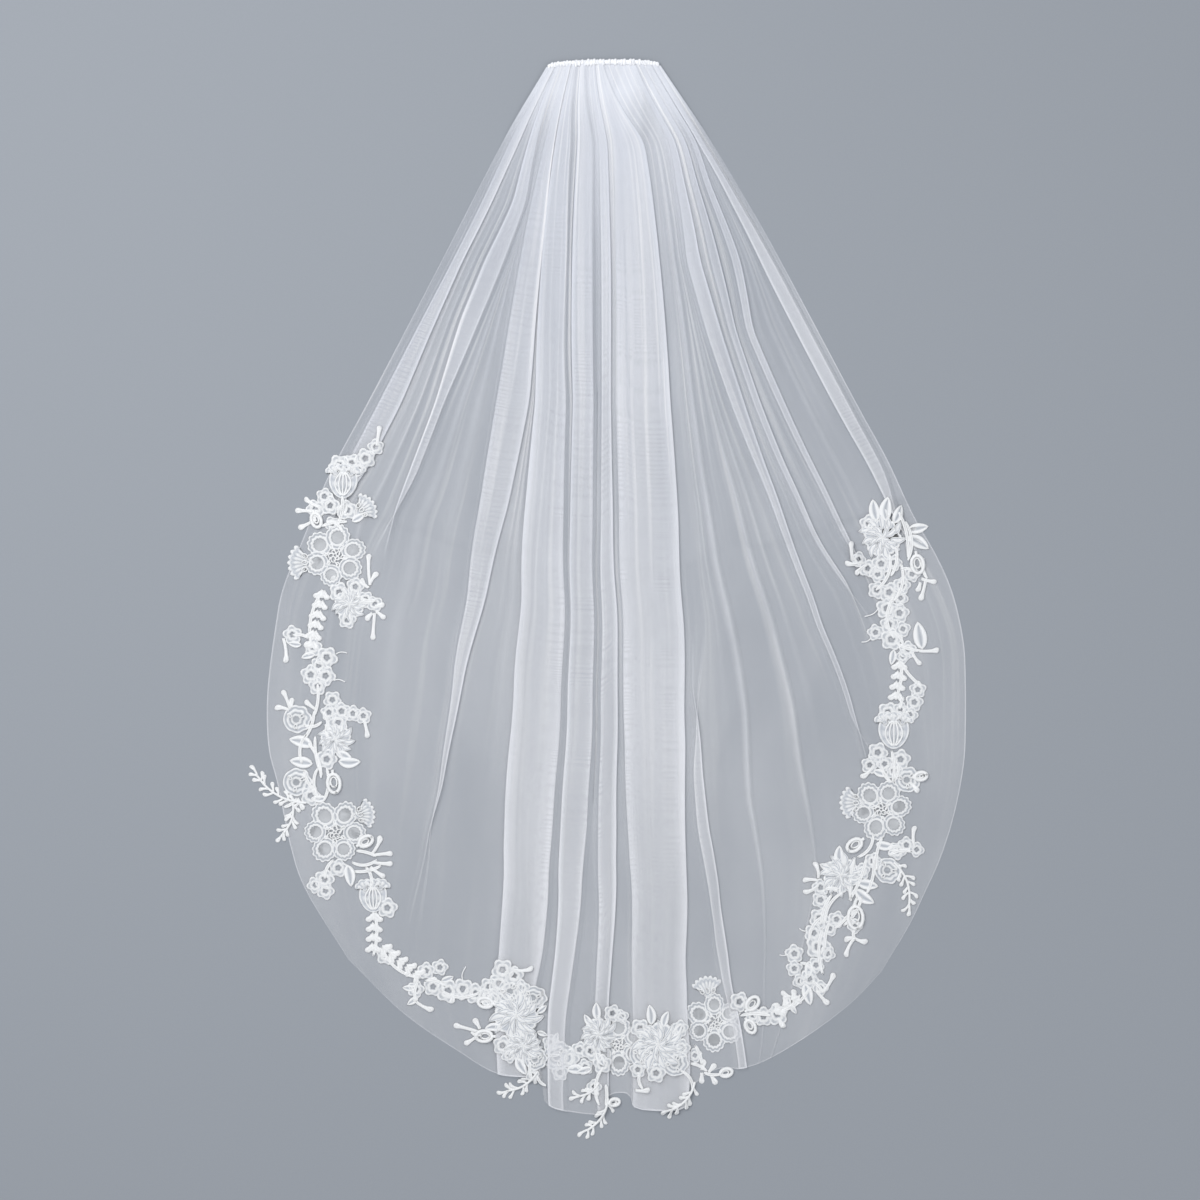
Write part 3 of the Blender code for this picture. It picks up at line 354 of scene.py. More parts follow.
# %% [markdown]
# ## Folding the sheet
# The sheet is one grid of columns and rows. A column keeps its across all the way down, and a row keeps its
# down. Each pleat adds columns for its hidden turn, its middle layer, its open edge, its top layer and the
# slope back to the table, so the layers are real and lie over each other. Where they do, the net shows
# denser, which is most of what the eye reads in tulle. A simulation would settle the pleats where it likes;
# laying them as listed keeps each one where a dresser has smoothed it out.

# %% Columns of one pleat and of the space beside it
BASE = WALL / 2  # height of the lowest layer over the table
TURN_STEPS = np.linspace(0, 1, 5)
SLOPE_STEPS = np.linspace(0, 1, 6)
MIDDLE_STEPS = (0.04, 0.12, 0.3, 0.5, 0.7, 0.88, 0.96)
TOP_STEPS = (0.03, 0.09, 0.2, 0.4, 0.6, 0.8, 0.94)
RIDGE_STEPS = np.linspace(0, 1, 11)
HIDDEN_STEPS = (0.35, 0.7, 0.97)
TURN_BULGE = 0.6  # how far a turn stands out past the edge it goes around
HIDDEN_TIGHT = 0.7  # how tight the hidden turn counts as, beside 1 for the edge that shows
MIDDLE_TIGHT, TOP_TIGHT = 0.13, 0.16  # shares of a layer's width within which a turn still tells
CROWN = 0.35  # the top layer stands this much proud between its edges
RIDGE_SHARE = 0.15  # how tight a ridge counts as for each mm it rises
EDGE = 0.0025  # across of the strip along the cut edge


def along_row(across, down):
    """The direction of a row at each place, and its length in mm for one unit of across."""
    step = 0.004
    before, after = np.clip(across - step, 0, 1), np.clip(across + step, 0, 1)
    run = (place(after, down) - place(before, down)) / (after - before)[..., None]
    length = np.hypot(run[..., 0], run[..., 1])
    return run / length[..., None], length


def smooth(share):
    """The same share from 0 to 1, but with no corner at either end."""
    return share * share * (3 - 2 * share)


def turn_columns(edge, shifts, heights, bulge, tight):
    """Columns around one turn of the cloth, which swings past its edge by the bulge."""
    columns = []
    for s in TURN_STEPS:
        ease = (1 - math.cos(math.pi * s)) / 2
        columns.append((edge, shifts[0] + (shifts[1] - shifts[0]) * s + bulge * math.sin(math.pi * s),
                        heights[0] + (heights[1] - heights[0]) * ease, tight))
    return columns


def pleat_columns(left, right, facing):
    """Columns from left to right: across, shift along the row in mm, height, and how tight a turn."""
    per_across = along_row((left + right) / 2, DOWN)[1]
    width = (right - left) * per_across
    still = 0 * DOWN
    if not facing:
        height = width * RIDGE_SLOPE
        crest = [height * math.sin(math.pi * s) ** 2 for s in RIDGE_STEPS]
        return [(left + (right - left) * s, still, BASE + rise, rise * RIDGE_SHARE)
                for s, rise in zip(RIDGE_STEPS, crest)]
    room = np.minimum(per_across / FULL_ROW, 1)
    slope = np.clip((WIDE - width) / (WIDE - NARROW), 0, 1)
    rise = np.clip(1 + width / (OPEN_OUT * room), 0, 1)
    level = [BASE + rise * LAYER * k for k in (0, 1, 1 + slope, 2 + slope)]
    spread = [(1 - rise) * room * s for s in OPEN_SPREAD]
    near, far = (left, right) if facing < 0 else (right, left)
    top = np.maximum(near, far) if facing < 0 else np.minimum(near, far)
    crest = CREST_RUN * rise + spread[4]
    end = crest + (RAMP_RUN + RAMP_RELAX * DOWN) * rise + np.maximum(spread[5] - spread[4], 0)
    columns = turn_columns(far, spread[0:2], level[0:2], TURN_BULGE * rise, rise * HIDDEN_TIGHT)
    for s in MIDDLE_STEPS:
        columns.append((far + (near - far) * s, spread[1] + (spread[2] - spread[1]) * s,
                        level[1] + (level[2] - level[1]) * s,
                        rise * max(0, 1 - min(s, 1 - s) / MIDDLE_TIGHT)))
    columns += turn_columns(near, spread[2:4], level[2:4], -TURN_BULGE * rise, rise)
    for s in TOP_STEPS:
        columns.append((near + (top - near) * s, spread[3] + (crest - spread[3]) * s,
                        level[3] + CROWN * rise * math.sin(math.pi * s),
                        rise * max(0, 1 - s / TOP_TIGHT)))
    for s in SLOPE_STEPS:
        columns.append((top, crest + (end - crest) * s, level[3] + (BASE - level[3]) * smooth(s), still))
    if facing < 0:
        return columns
    return [(u, -shift, z, tight) for u, shift, z, tight in reversed(columns)]


def fade(down, fullest, gone):
    """0 at the heading, 1 where a gather is fullest, and 0 again where it has faded."""
    up = np.clip(down / fullest, 0, 1)
    out = np.clip((gone - down) / (gone - fullest), 0, 1)
    return smooth(up) * smooth(out)


def space_columns(number, start, end, seen_from, seen_to):
    """Columns of plain cloth and its gathers between two pleats. What lies under a pleat stays flat."""
    middle = (seen_from + seen_to) / 2
    seen_from, seen_to = np.minimum(seen_from, middle), np.maximum(seen_to, middle)
    width = np.maximum(seen_to - seen_from, 0) * along_row(middle, DOWN)[1]
    rows = GATHERS[number]
    shares = {round(s, 4) for s in np.linspace(0.02, 0.98, 5)}
    for at, size, _, _, _ in rows:
        shares = {s for s in shares if abs(s - at) > GATHER_ROOM * size}
        shares |= {round(at + size * k / 6, 4) for k in (-3, -2, -1, 0, 1, 2, 3)}
    columns = []
    still = 0 * DOWN
    if (seen_from - start).max() > 1e-6:
        columns += [(start + (seen_from - start) * s, still, still + BASE, still) for s in HIDDEN_STEPS]
    for share in sorted(shares):
        height = still + BASE
        for at, size, tall, fullest, gone in rows:
            off = abs(share - at) / (size / 2)
            if off < 1:
                most = np.minimum(tall, GATHER_SLOPE * size * width)
                height = height + most * fade(DOWN, fullest, gone) * math.cos(math.pi / 2 * off) ** 2
        tight = (height - BASE) * RIDGE_SHARE
        columns.append((seen_from + (seen_to - seen_from) * share, still, height, tight))
    if (end - seen_to).max() > 1e-6:
        columns += [(seen_to + (end - seen_to) * s, still, still + BASE, still) for s in HIDDEN_STEPS[:-1]]
    return columns


def sheet_columns():
    """Every column of the sheet, from its left edge to its right edge."""
    edge = 0 * DOWN
    columns = [(edge, edge, edge + BASE, edge + 1), (edge + EDGE, edge, edge + BASE, edge)]
    end = edge + EDGE
    seen = end
    for number, (_, facing, _) in enumerate(FOLDS):
        left, right = TRACKS[number]
        pleat = pleat_columns(left, right, facing)
        per = along_row(pleat[0][0], DOWN)[1]
        start = pleat[0][0] + pleat[0][1] / per
        columns += space_columns(number, end, start, np.maximum(end, seen), np.minimum(start, left))
        columns += pleat
        end = pleat[-1][0] + pleat[-1][1] / along_row(pleat[-1][0], DOWN)[1]
        seen = np.maximum(end, right)
    columns += space_columns(len(FOLDS), end, edge + 1 - EDGE, seen, edge + 1 - EDGE)
    columns += [(edge + 1 - EDGE, edge, edge + BASE, edge), (edge + 1, edge, edge + BASE, edge + 1)]
    return [np.stack(parts, axis=1) for parts in zip(*columns)]


ACROSS, SHIFT, HEIGHT, TIGHT = sheet_columns()
print(ACROSS.shape[1], "columns by", ROWS, "rows")

# %% [markdown]
# ## From columns to cloth
# Two more things are worked out for every point. The first is the place it had in the flat cut, kept as the
# UV map, so that the net's holes keep their real size and squeeze together where the cloth is gathered. The
# second is how full the cloth lies there: how much of it covers one bit of table. On a steep turn or in a
# tight gather that is several times one layer, and the net looks as dense as that.

# %% Build the tulle
LIFT = 2.3  # the comb holds the cloth up by this much
LIFT_FULL_Y, LIFT_NONE_Y = 412.0, 390.0  # it does so fully above the first y, and not below the second
CUT_TOP = 760.0  # width of the flat cut at its gathered edge
CUT_EASE = 0.5  # down at which the cloth has stopped being gathered
PRESSED = 0.1  # the layers at the heading are drawn this flat by the stitching
PRESSED_DOWN = 0.26  # down at which they stand at their full height
STEEP_MOST = 3.6  # a steep slope counts as this many layers at most
FULL_MOST = 12.0
HEADING_GATHERS, HEADING_REACH = 3.5, 0.04  # tiny gathers, in layers, and the down in which they die away
SIDE_REACH = 0.06  # the same for the sides of the veil, which soon stop looking gathered
MIDDLE_GATHERS, MIDDLE_GONE = 0.8, 0.95  # those down the middle, and the down at which they are gone
MIDDLE_X, MIDDLE_REACH = -4.0, 78.0  # where the middle is, and half its width
TURN_GATHERS = 3.2  # layers that a tight turn adds to the eye


def table_place(across, down):
    """Places on the panel, moved to where the veil lies in the world."""
    return place(across, down) + TO_MIDDLE


def cloth_points():
    """The place of every column on every row, in mm over the table."""
    down = np.repeat(DOWN[:, None], ACROSS.shape[1], axis=1)
    direction, per_across = along_row(ACROSS, down)
    moved = np.clip(ACROSS + SHIFT / per_across, 0, 1)
    flat = place(moved, down) + direction * (SHIFT - (moved - ACROSS) * per_across)[..., None]
    lift = LIFT * smooth(np.clip((flat[..., 1] - LIFT_NONE_Y) / (LIFT_FULL_Y - LIFT_NONE_Y), 0, 1))
    loose = PRESSED + (1 - PRESSED) * smooth(np.clip(down / PRESSED_DOWN, 0, 1))
    height = BASE + (HEIGHT - BASE) * loose + lift
    return np.concatenate([flat + TO_MIDDLE, height[..., None]], axis=-1)


def flat_cut(points):
    """The place of each point in the flat cut, in mm, and how far the row is gathered."""
    steps = np.linalg.norm(np.diff(points, axis=1), axis=-1)
    run = np.concatenate([np.zeros((ROWS, 1)), np.cumsum(steps, axis=1)], axis=1)
    length = run[:, -1]
    ease = np.clip(1 - DOWN / CUT_EASE, 0, 1)
    width = np.maximum(length, CUT_TOP + (length.max() - CUT_TOP) * (1 - ease**2))
    width = np.where(DOWN < CUT_EASE, width, length)
    x = run / length[:, None] * width[:, None] - width[:, None] / 2
    middle = points[:, points.shape[1] // 2]
    fall = np.r_[0, np.cumsum(np.linalg.norm(np.diff(middle, axis=0), axis=1))]
    return x, -np.repeat(fall[:, None], points.shape[1], axis=1), width / length, width, fall


def small_gathers(points, gathered):
    """How much denser the cloth lies from gathers too small to model: at the heading, and down its middle."""
    down = np.repeat(DOWN[:, None], points.shape[1], axis=1)
    middle = 1 / (1 + np.abs((points[..., 0] - MIDDLE_X) / MIDDLE_REACH) ** 6)
    ease = np.clip((MIDDLE_GONE - down) / MIDDLE_GONE, 0, 1) ** 0.8
    drawn_up = 1 + (gathered[:, None] - 1) * (middle + (1 - middle) * np.exp(-down / SIDE_REACH))
    return drawn_up * (1 + HEADING_GATHERS * np.exp(-down / HEADING_REACH) + MIDDLE_GATHERS * middle * ease)


def fullness(points, gathered):
    """How many layers of flat tulle the cloth looks like at each point."""
    normal = np.cross(np.gradient(points, axis=0), np.gradient(points, axis=1))
    steep = np.linalg.norm(normal, axis=-1) / np.maximum(np.abs(normal[..., 2]), 1e-9)
    layers = np.clip(steep, 1, STEEP_MOST) * small_gathers(points, gathered)
    tight = TIGHT.copy()
    tight[-1] = 1.0
    return np.clip(layers + TURN_GATHERS * tight, 1, FULL_MOST)


def add_piece(name, points, faces, look, uv=None, values=None):
    """A mesh object from points in mm, with a UV map and point attributes if it has them."""
    mesh = bpy.data.meshes.new(name)
    mesh.from_pydata(np.asarray(points) * MM, [], faces)
    if uv is not None:
        layer = mesh.uv_layers.new(name="cloth")
        corner = np.empty(len(mesh.loops), np.int32)
        mesh.loops.foreach_get("vertex_index", corner)
        layer.data.foreach_set("uv", (np.asarray(uv)[corner] * MM).astype(np.float32).ravel())
    for key, numbers in (values or {}).items():
        made = mesh.attributes.new(key, "FLOAT", "POINT")
        made.data.foreach_set("value", np.asarray(numbers, np.float32).ravel())
    mesh.materials.append(look)
    mesh.shade_smooth()
    piece = bpy.data.objects.new(name, mesh)
    bpy.context.scene.collection.objects.link(piece)
    return piece


def grid_faces(rows, columns):
    """The quads of a grid of points, with their faces up."""
    corner = np.arange(rows * columns).reshape(rows, columns)
    return np.stack([corner[:-1, :-1], corner[1:, :-1], corner[1:, 1:], corner[:-1, 1:]], -1).reshape(-1, 4)


def look_named(name):
    """A new material with its Principled BSDF ready."""
    look = bpy.data.materials.new(name)
    look.use_nodes = True
    return look


TULLE = look_named("soft_tulle")
POINTS = cloth_points()
CUT_X, CUT_Y, GATHERED, CUT_WIDTH, FALL = flat_cut(POINTS)
tulle = add_piece("tulle_cloth", POINTS.reshape(-1, 3), grid_faces(*POINTS.shape[:2]).tolist(), TULLE,
                  uv=np.stack([CUT_X, CUT_Y], -1).reshape(-1, 2),
                  values={"fullness": fullness(POINTS, GATHERED),
                          "warp": np.broadcast_to(CUT_X.mean(axis=0) * MM, CUT_X.shape)})

# %% [markdown]
# ## What tulle looks like
# Tulle is a net of six-sided holes, about 0.9 mm apart, in thread a tenth as thick. Modelling the holes
# would take millions of faces, so the net is a pattern of see-through spots on the cloth's own UV map. The
# pattern is a shader node group, because the lace's net centres use the same net. From a distance the holes
# blur, and what matters is the share of light that the cloth stops, so the group also takes how full the
# cloth lies: two layers let through the square of what one does.

# %% A node group for the net
def group_socket(group, name, kind, direction, value=None, low=None, high=None):
    """Adds a named input or output to a shader node group."""
    socket = group.interface.new_socket(name=name, in_out=direction, socket_type=kind)
    if value is not None:
        socket.default_value = value
    if low is not None:
        socket.min_value, socket.max_value = low, high
    return socket


def feed(tree, slot, value):
    """Sets an input to a number or a tuple, or links another node's output to it."""
    if isinstance(value, (int, float, tuple)):
        slot.default_value = value
    else:
        tree.links.new(value, slot)


def math_node(tree, operation, *values):
    """A Math node on numbers or sockets; returns its output."""
    node = tree.nodes.new("ShaderNodeMath")
    node.operation = operation
    for slot, value in zip(node.inputs, values):
        feed(tree, slot, value)
    return node.outputs[0]


def vector_node(tree, operation, *values, output=0):
    """The same for vectors."""
    node = tree.nodes.new("ShaderNodeVectorMath")
    node.operation = operation
    for slot, value in zip(node.inputs, values):
        feed(tree, slot, value)
    return node.outputs[output]


def mix_node(tree, factor, first, second):
    """A number that goes from the first to the second as the factor goes from 0 to 1."""
    node = tree.nodes.new("ShaderNodeMix")
    for name, value in (("Factor", factor), ("A", first), ("B", second)):
        feed(tree, node.inputs[name], value)
    return node.outputs["Result"]


def range_node(tree, value, low, high, to_low=0.0, to_high=1.0, smooth_ends=True):
    """Takes a value between low and high to one between to_low and to_high."""
    node = tree.nodes.new("ShaderNodeMapRange")
    node.interpolation_type = "SMOOTHSTEP" if smooth_ends else "LINEAR"
    for name, number in (("From Min", low), ("From Max", high), ("To Min", to_low), ("To Max", to_high)):
        node.inputs[name].default_value = number
    tree.links.new(value, node.inputs["Value"])
    return node.outputs["Result"]


HOLE_EDGE, THREAD_EDGE = 0.34, 0.54  # in cells from a hole's middle: where it ends, and the thread is full


def make_net_group():
    """Opacity of a hexagonal net: 1 on the thread, low in the holes, denser where the cloth is full."""
    group = bpy.data.node_groups.new("hexagon_net", "ShaderNodeTree")
    group_socket(group, "Place", "NodeSocketVector", "INPUT")
    group_socket(group, "Cell", "NodeSocketFloat", "INPUT", 0.0009, 0.0001, 0.1)
    group_socket(group, "Thread", "NodeSocketFloat", "INPUT", 0.5, 0.0, 1.0)
    group_socket(group, "Hole", "NodeSocketFloat", "INPUT", 0.08, 0.0, 1.0)
    group_socket(group, "Fullness", "NodeSocketFloat", "INPUT", 1.0, 0.0, 20.0)
    group_socket(group, "Opacity", "NodeSocketFloat", "OUTPUT")
    group_socket(group, "Net", "NodeSocketFloat", "OUTPUT")
    given, made = group.nodes.new("NodeGroupInput"), group.nodes.new("NodeGroupOutput")
    cell = group.nodes.new("ShaderNodeCombineXYZ")
    for axis in "XYZ":
        group.links.new(given.outputs["Cell"], cell.inputs[axis])
    spread = vector_node(group, "DIVIDE", given.outputs["Place"], cell.outputs[0])
    nearest = []
    side = (1.0, math.sqrt(3.0), 1.0)
    for half in ((0.0, 0.0, 0.0), (0.5, math.sqrt(3.0) / 2, 0.0)):
        moved = vector_node(group, "ADD", spread, half)
        wrapped = vector_node(group, "WRAP", moved, tuple(v / 2 for v in side), tuple(-v / 2 for v in side))
        flat = vector_node(group, "MULTIPLY", wrapped, (1.0, 1.0, 0.0))
        nearest.append(vector_node(group, "LENGTH", flat, output="Value"))
    distance = math_node(group, "MINIMUM", *nearest)
    thread = range_node(group, distance, HOLE_EDGE, THREAD_EDGE)
    stopped = mix_node(group, thread, given.outputs["Hole"], given.outputs["Thread"])
    passed = math_node(group, "POWER", math_node(group, "SUBTRACT", 1.0, stopped), given.outputs["Fullness"])
    group.links.new(math_node(group, "SUBTRACT", 1.0, passed), made.inputs["Opacity"])
    group.links.new(thread, made.inputs["Net"])
    return group


NET = make_net_group()
print("net group:", [item.name for item in NET.interface.items_tree])

# %% [markdown]
# ## The fine lines of gathered cloth
# Below the heading, tulle stands in hundreds of tiny pleats, far finer than the mesh. They show as bright
# hair lines that run with the warp and die away towards the hem. Noise that is stretched along the cloth's
# length gives them: once as opacity, once as bump, and once as painted shade between them in the cloth's
# colour. A second group holds this, driven by the UV map.

# %% A node group for gather lines
FINE_LINES, BROAD_LINES = (160.0, 2.4, 1.0), (46.0, 1.6, 1.0)  # noise turns for each metre across and along
BROAD_SHARE = 0.55  # how bright the broad lines are beside the fine ones


def noise_node(tree, place, scale, detail, stretch):
    """Noise on a place that has been squeezed by stretch, one factor for each axis."""
    pulled = vector_node(tree, "MULTIPLY", place, stretch)
    node = tree.nodes.new("ShaderNodeTexNoise")
    node.inputs["Scale"].default_value = scale
    node.inputs["Detail"].default_value = detail
    tree.links.new(pulled, node.inputs["Vector"])
    return node.outputs["Fac"]


def make_gather_group():
    """Bright hair lines that run along the cloth, and the height that goes with them."""
    group = bpy.data.node_groups.new("gather_lines", "ShaderNodeTree")
    group_socket(group, "Place", "NodeSocketVector", "INPUT")
    group_socket(group, "Strength", "NodeSocketFloat", "INPUT", 1.0, 0.0, 10.0)
    group_socket(group, "Lines", "NodeSocketFloat", "OUTPUT")
    group_socket(group, "Streak", "NodeSocketFloat", "OUTPUT")
    group_socket(group, "Height", "NodeSocketFloat", "OUTPUT")
    given, made = group.nodes.new("NodeGroupInput"), group.nodes.new("NodeGroupOutput")
    fine = noise_node(group, given.outputs["Place"], 1.0, 2.0, FINE_LINES)
    broad = noise_node(group, given.outputs["Place"], 1.0, 1.0, BROAD_LINES)
    sharp = range_node(group, fine, 0.5, 0.72)
    soft = range_node(group, broad, 0.4, 0.7)
    both = math_node(group, "MULTIPLY_ADD", soft, BROAD_SHARE, sharp)
    lines = math_node(group, "MULTIPLY", both, given.outputs["Strength"])
    # Streak is high on the lines and low between them, where the tulle's colour takes its painted shade.
    group.links.new(range_node(group, both, 0.1, 1.1), made.inputs["Streak"])
    group.links.new(lines, made.inputs["Lines"])
    group.links.new(math_node(group, "ADD", fine, broad), made.inputs["Height"])
    return group


GATHER_LINES = make_gather_group()
print("gather lines:", [item.name for item in GATHER_LINES.interface.items_tree])

# %% [markdown]
# ## The tulle's surface
# The cloth's colour is a soft white, a little cooler than the lace. Its opacity is the net's, raised by how
# full the cloth lies and by the gather lines. A slow noise makes the net a little uneven, as any pressed
# veil is. Near the heading, where the pleats stand side by side, it closes up almost to solid white.
# Between the gather lines its colour darkens to a cool grey, as painted shade for the shadows between the
# tiny pleats, most of all near the heading.

# %% The tulle's material
TULLE_NET = dict(Cell=0.0009, Thread=0.46, Hole=0.10)
# The first colour is painted shade, the cool grey the cloth takes between the gather lines; the second is its
# own white.
TULLE_PAINTED_SHADE, TULLE_WHITE = (0.60, 0.64, 0.74), (0.96, 0.96, 0.98)
WASH_DOWN = -0.75  # m below the gathered edge at which the gather lines have died away
LINES_GAIN, LINES_LEAST = 1.5, 0.1  # their strength at the hem is the second, and the first is added above
SHADE_GAIN, SHADE_LEAST = 0.4, 0.12  # the same for the shade between them
UNEVEN = (0.7, 1.35)  # how much thinner and denser than its middle the cloth lies
NET_RELIEF = 0.15


def group_node(tree, group, **values):
    """A copy of a group, with its inputs set or linked by name."""
    node = tree.nodes.new("ShaderNodeGroup")
    node.node_tree = group
    for name, value in values.items():
        feed(tree, node.inputs[name], value)
    return node


def attribute_node(tree, name):
    """The number that a mesh carries under this name."""
    node = tree.nodes.new("ShaderNodeAttribute")
    node.attribute_name = name
    return node.outputs["Fac"]


def ramp_node(tree, value, low, high):
    """A colour that goes from low to high as the value goes from 0 to 1."""
    node = tree.nodes.new("ShaderNodeValToRGB")
    for stop, colour in zip(node.color_ramp.elements, (low, high)):
        stop.color = (*colour, 1.0)
    tree.links.new(value, node.inputs[0])
    return node.outputs[0]


def bump_node(tree, height, strength, distance):
    """A normal bent by a height of 0 to 1, which stands for a distance in metres."""
    node = tree.nodes.new("ShaderNodeBump")
    for name, value in (("Strength", strength), ("Distance", distance), ("Height", height)):
        feed(tree, node.inputs[name], value)
    return node.outputs[0]


def set_look(look, inputs):
    """Sets or links the inputs of a look's shader by name."""
    for name, value in inputs.items():
        feed(look.node_tree, look.node_tree.nodes["Principled BSDF"].inputs[name], value)


def finish_tulle(look):
    """See-through net that closes up where the cloth is full, with gather lines near the heading."""
    tree = look.node_tree
    where = tree.nodes.new("ShaderNodeUVMap")
    where.uv_map = "cloth"
    depth = tree.nodes.new("ShaderNodeSeparateXYZ")
    tree.links.new(where.outputs[0], depth.inputs[0])
    near = range_node(tree, depth.outputs["Y"], WASH_DOWN, 0.0)
    warp = tree.nodes.new("ShaderNodeCombineXYZ")
    tree.links.new(attribute_node(tree, "warp"), warp.inputs["X"])
    tree.links.new(depth.outputs["Y"], warp.inputs["Y"])
    lines = group_node(tree, GATHER_LINES, Place=warp.outputs[0],
                       Strength=math_node(tree, "MULTIPLY_ADD", near, LINES_GAIN, LINES_LEAST))
    cloud = noise_node(tree, where.outputs[0], 11.0, 3.0, (1.0, 0.4, 1.0))
    uneven = range_node(tree, cloud, 0.3, 0.72, *UNEVEN)
    layers = math_node(tree, "MULTIPLY", attribute_node(tree, "fullness"), uneven)
    total = math_node(tree, "ADD", layers, lines.outputs["Lines"])
    net = group_node(tree, NET, Place=where.outputs[0], Fullness=total, **TULLE_NET)
    # Painted shade: the colour darkens between the gather lines, most near the heading, for the shadows
    # between tiny pleats.
    between = math_node(tree, "SUBTRACT", 1.0, lines.outputs["Streak"])
    shadow = math_node(tree, "MULTIPLY", between,
                       math_node(tree, "MULTIPLY_ADD", near, SHADE_GAIN, SHADE_LEAST))
    light = math_node(tree, "SUBTRACT", 1.0, shadow)
    height = math_node(tree, "MULTIPLY_ADD", net.outputs["Net"], NET_RELIEF,
                       math_node(tree, "MULTIPLY", lines.outputs["Height"], near))
    set_look(look, {"Roughness": 0.6, "Sheen Weight": 0.3, "Sheen Roughness": 0.4, "Specular IOR Level": 0.25,
                    "Alpha": net.outputs["Opacity"], "Normal": bump_node(tree, height, 0.5, 0.0008),
                    "Base Color": ramp_node(tree, light, TULLE_PAINTED_SHADE, TULLE_WHITE)})


finish_tulle(TULLE)
print("tulle nodes:", len(TULLE.node_tree.nodes))

# %% [markdown]
# ## Where the lace rests
# The lace lies on the face of the tulle, so its height follows the cloth under it. Rays cast straight down
# onto the sheet give a map of that height on a 2 mm grid. Lace is stiffer than tulle and bridges its small
# dips, so the map takes the highest cloth within a few millimetres and is then blurred. Where a spray
# reaches past the cut edge, the map falls away to the table.

# %% A map of the cloth's height
GRID = 2.0
MAP_SIDE, MAP_LOW, MAP_HIGH = 340.0, -490.0, 180.0  # how far the map goes to the sides, down and up
RAY_LENGTH = 0.1
RAY_FROM = {True: 0.05, False: -0.01}  # m: rays cast down start over the cloth, and those cast up under it
SIDEWAYS = ((0, 1), (0, -1), (1, 0), (-1, 0))
BLURS, BLUR_SHARE = 2, 0.15  # how often the map is blurred, and what each neighbour then counts for
UNDER_MOST = 0.9  # lace under a pleat stays flat where the cloth above it rises


def rest_map(piece, down=True):
    """The cloth's height on the grid, seen from above or from below; 0 on the bare table."""
    tree = BVHTree.FromPolygons([v.co[:] for v in piece.data.vertices],
                                [p.vertices[:] for p in piece.data.polygons])
    start, way = RAY_FROM[down], Vector((0, 0, -1 if down else 1))
    heights = np.zeros((len(REST_Y), len(REST_X)))
    for j, y in enumerate(REST_Y):
        for i, x in enumerate(REST_X):
            hit = tree.ray_cast(Vector((x * MM, y * MM, start)), way, RAY_LENGTH)[0]
            heights[j, i] = hit.z / MM if hit else 0.0
    wide = heights
    for step in SIDEWAYS:
        wide = np.maximum(wide, np.roll(heights, step, (0, 1)))
    for _ in range(BLURS):
        beside = sum(np.roll(wide, step, (0, 1)) for step in SIDEWAYS)
        wide = (1 - 4 * BLUR_SHARE) * wide + BLUR_SHARE * beside
    return wide


REST_X = np.arange(-MAP_SIDE, MAP_SIDE + GRID, GRID)
REST_Y = np.arange(MAP_LOW, MAP_HIGH, GRID)
REST, UNDER = rest_map(tulle), rest_map(tulle, down=False)


def map_height(heights, points):
    """Height of a map at table places, by bilinear blending."""
    fx = np.clip((points[:, 0] - REST_X[0]) / GRID, 0, len(REST_X) - 1.001)
    fy = np.clip((points[:, 1] - REST_Y[0]) / GRID, 0, len(REST_Y) - 1.001)
    i, j = fx.astype(int), fy.astype(int)
    a, b = fx - i, fy - j
    return ((heights[j, i] * (1 - a) + heights[j, i + 1] * a) * (1 - b)
            + (heights[j + 1, i] * (1 - a) + heights[j + 1, i + 1] * a) * b)


def rest_height(points):
    """Height of the cloth's face."""
    return map_height(REST, points)


def under_height(points):
    """Height of the cloth's underside, for lace that shows from under a pleat."""
    return np.minimum(map_height(UNDER, points), UNDER_MOST)


print("rest map", REST.shape, "highest", round(float(REST.max()), 2), "mm")

# %% [markdown]
# ## How corded lace is made up
# Guipure lace is embroidery on a ground that is washed away, so it is nothing but thread: padded petals
# with a raised rim, and cords that join them. Two kinds of shape make every motif here. A patch is a
# closed, low relief, such as a petal or a leaf. A cord is a line of points with a thickness. Patches are
# meshed directly, and one Geometry Nodes tree turns the lines into cords, so that a few hundred short rows
# are enough for the whole edging.

# %% Patches and cords
CORD_STEP = 2.2  # mm between the points of a cord


def turned(points, x, y, degrees):
    """Points turned by an angle about the origin, and then moved to x, y."""
    c, s = math.cos(math.radians(degrees)), math.sin(math.radians(degrees))
    p = np.atleast_2d(np.asarray(points, float))
    return np.column_stack([x + p[:, 0] * c - p[:, 1] * s, y + p[:, 0] * s + p[:, 1] * c])


class LaceWork:
    """The shapes of one length of lace, gathered before they become a mesh."""

    def __init__(self, seed):
        self.patches, self.cords = [], []
        self.chance = np.random.default_rng(seed)

    def near(self, value, share=0.08):
        """A value with the small unevenness of handwork."""
        return value * (1 + share * self.chance.uniform(-1, 1))

    def patch(self, outline, core, relief, waves=0, lift=0.0, holed=False):
        """A closed relief from outline to core. Waves are a count of lobes, or each point's phase."""
        self.patches.append((outline, core, relief, waves, lift, holed))

    def cord(self, path, radius, lift=0.0):
        """A round cord along a path."""
        self.cords.append((path, radius, lift))


def scalloped(radius, lobes, dip, count, stretch=1.0, lean=0.0):
    """A ring with a wavy edge. A lean makes its far side, along x, wider and wavier than the near side."""
    angle = np.linspace(0, 2 * math.pi, count, endpoint=False)
    far = (1 + np.cos(angle)) / 2
    wave = 1 - dip * (1 - np.abs(np.cos(lobes * angle / 2))) * (far if lean else 1)
    r = radius * wave * (1 + lean * (far - 0.5))
    return np.column_stack([r * np.cos(angle) * stretch, r * np.sin(angle)])


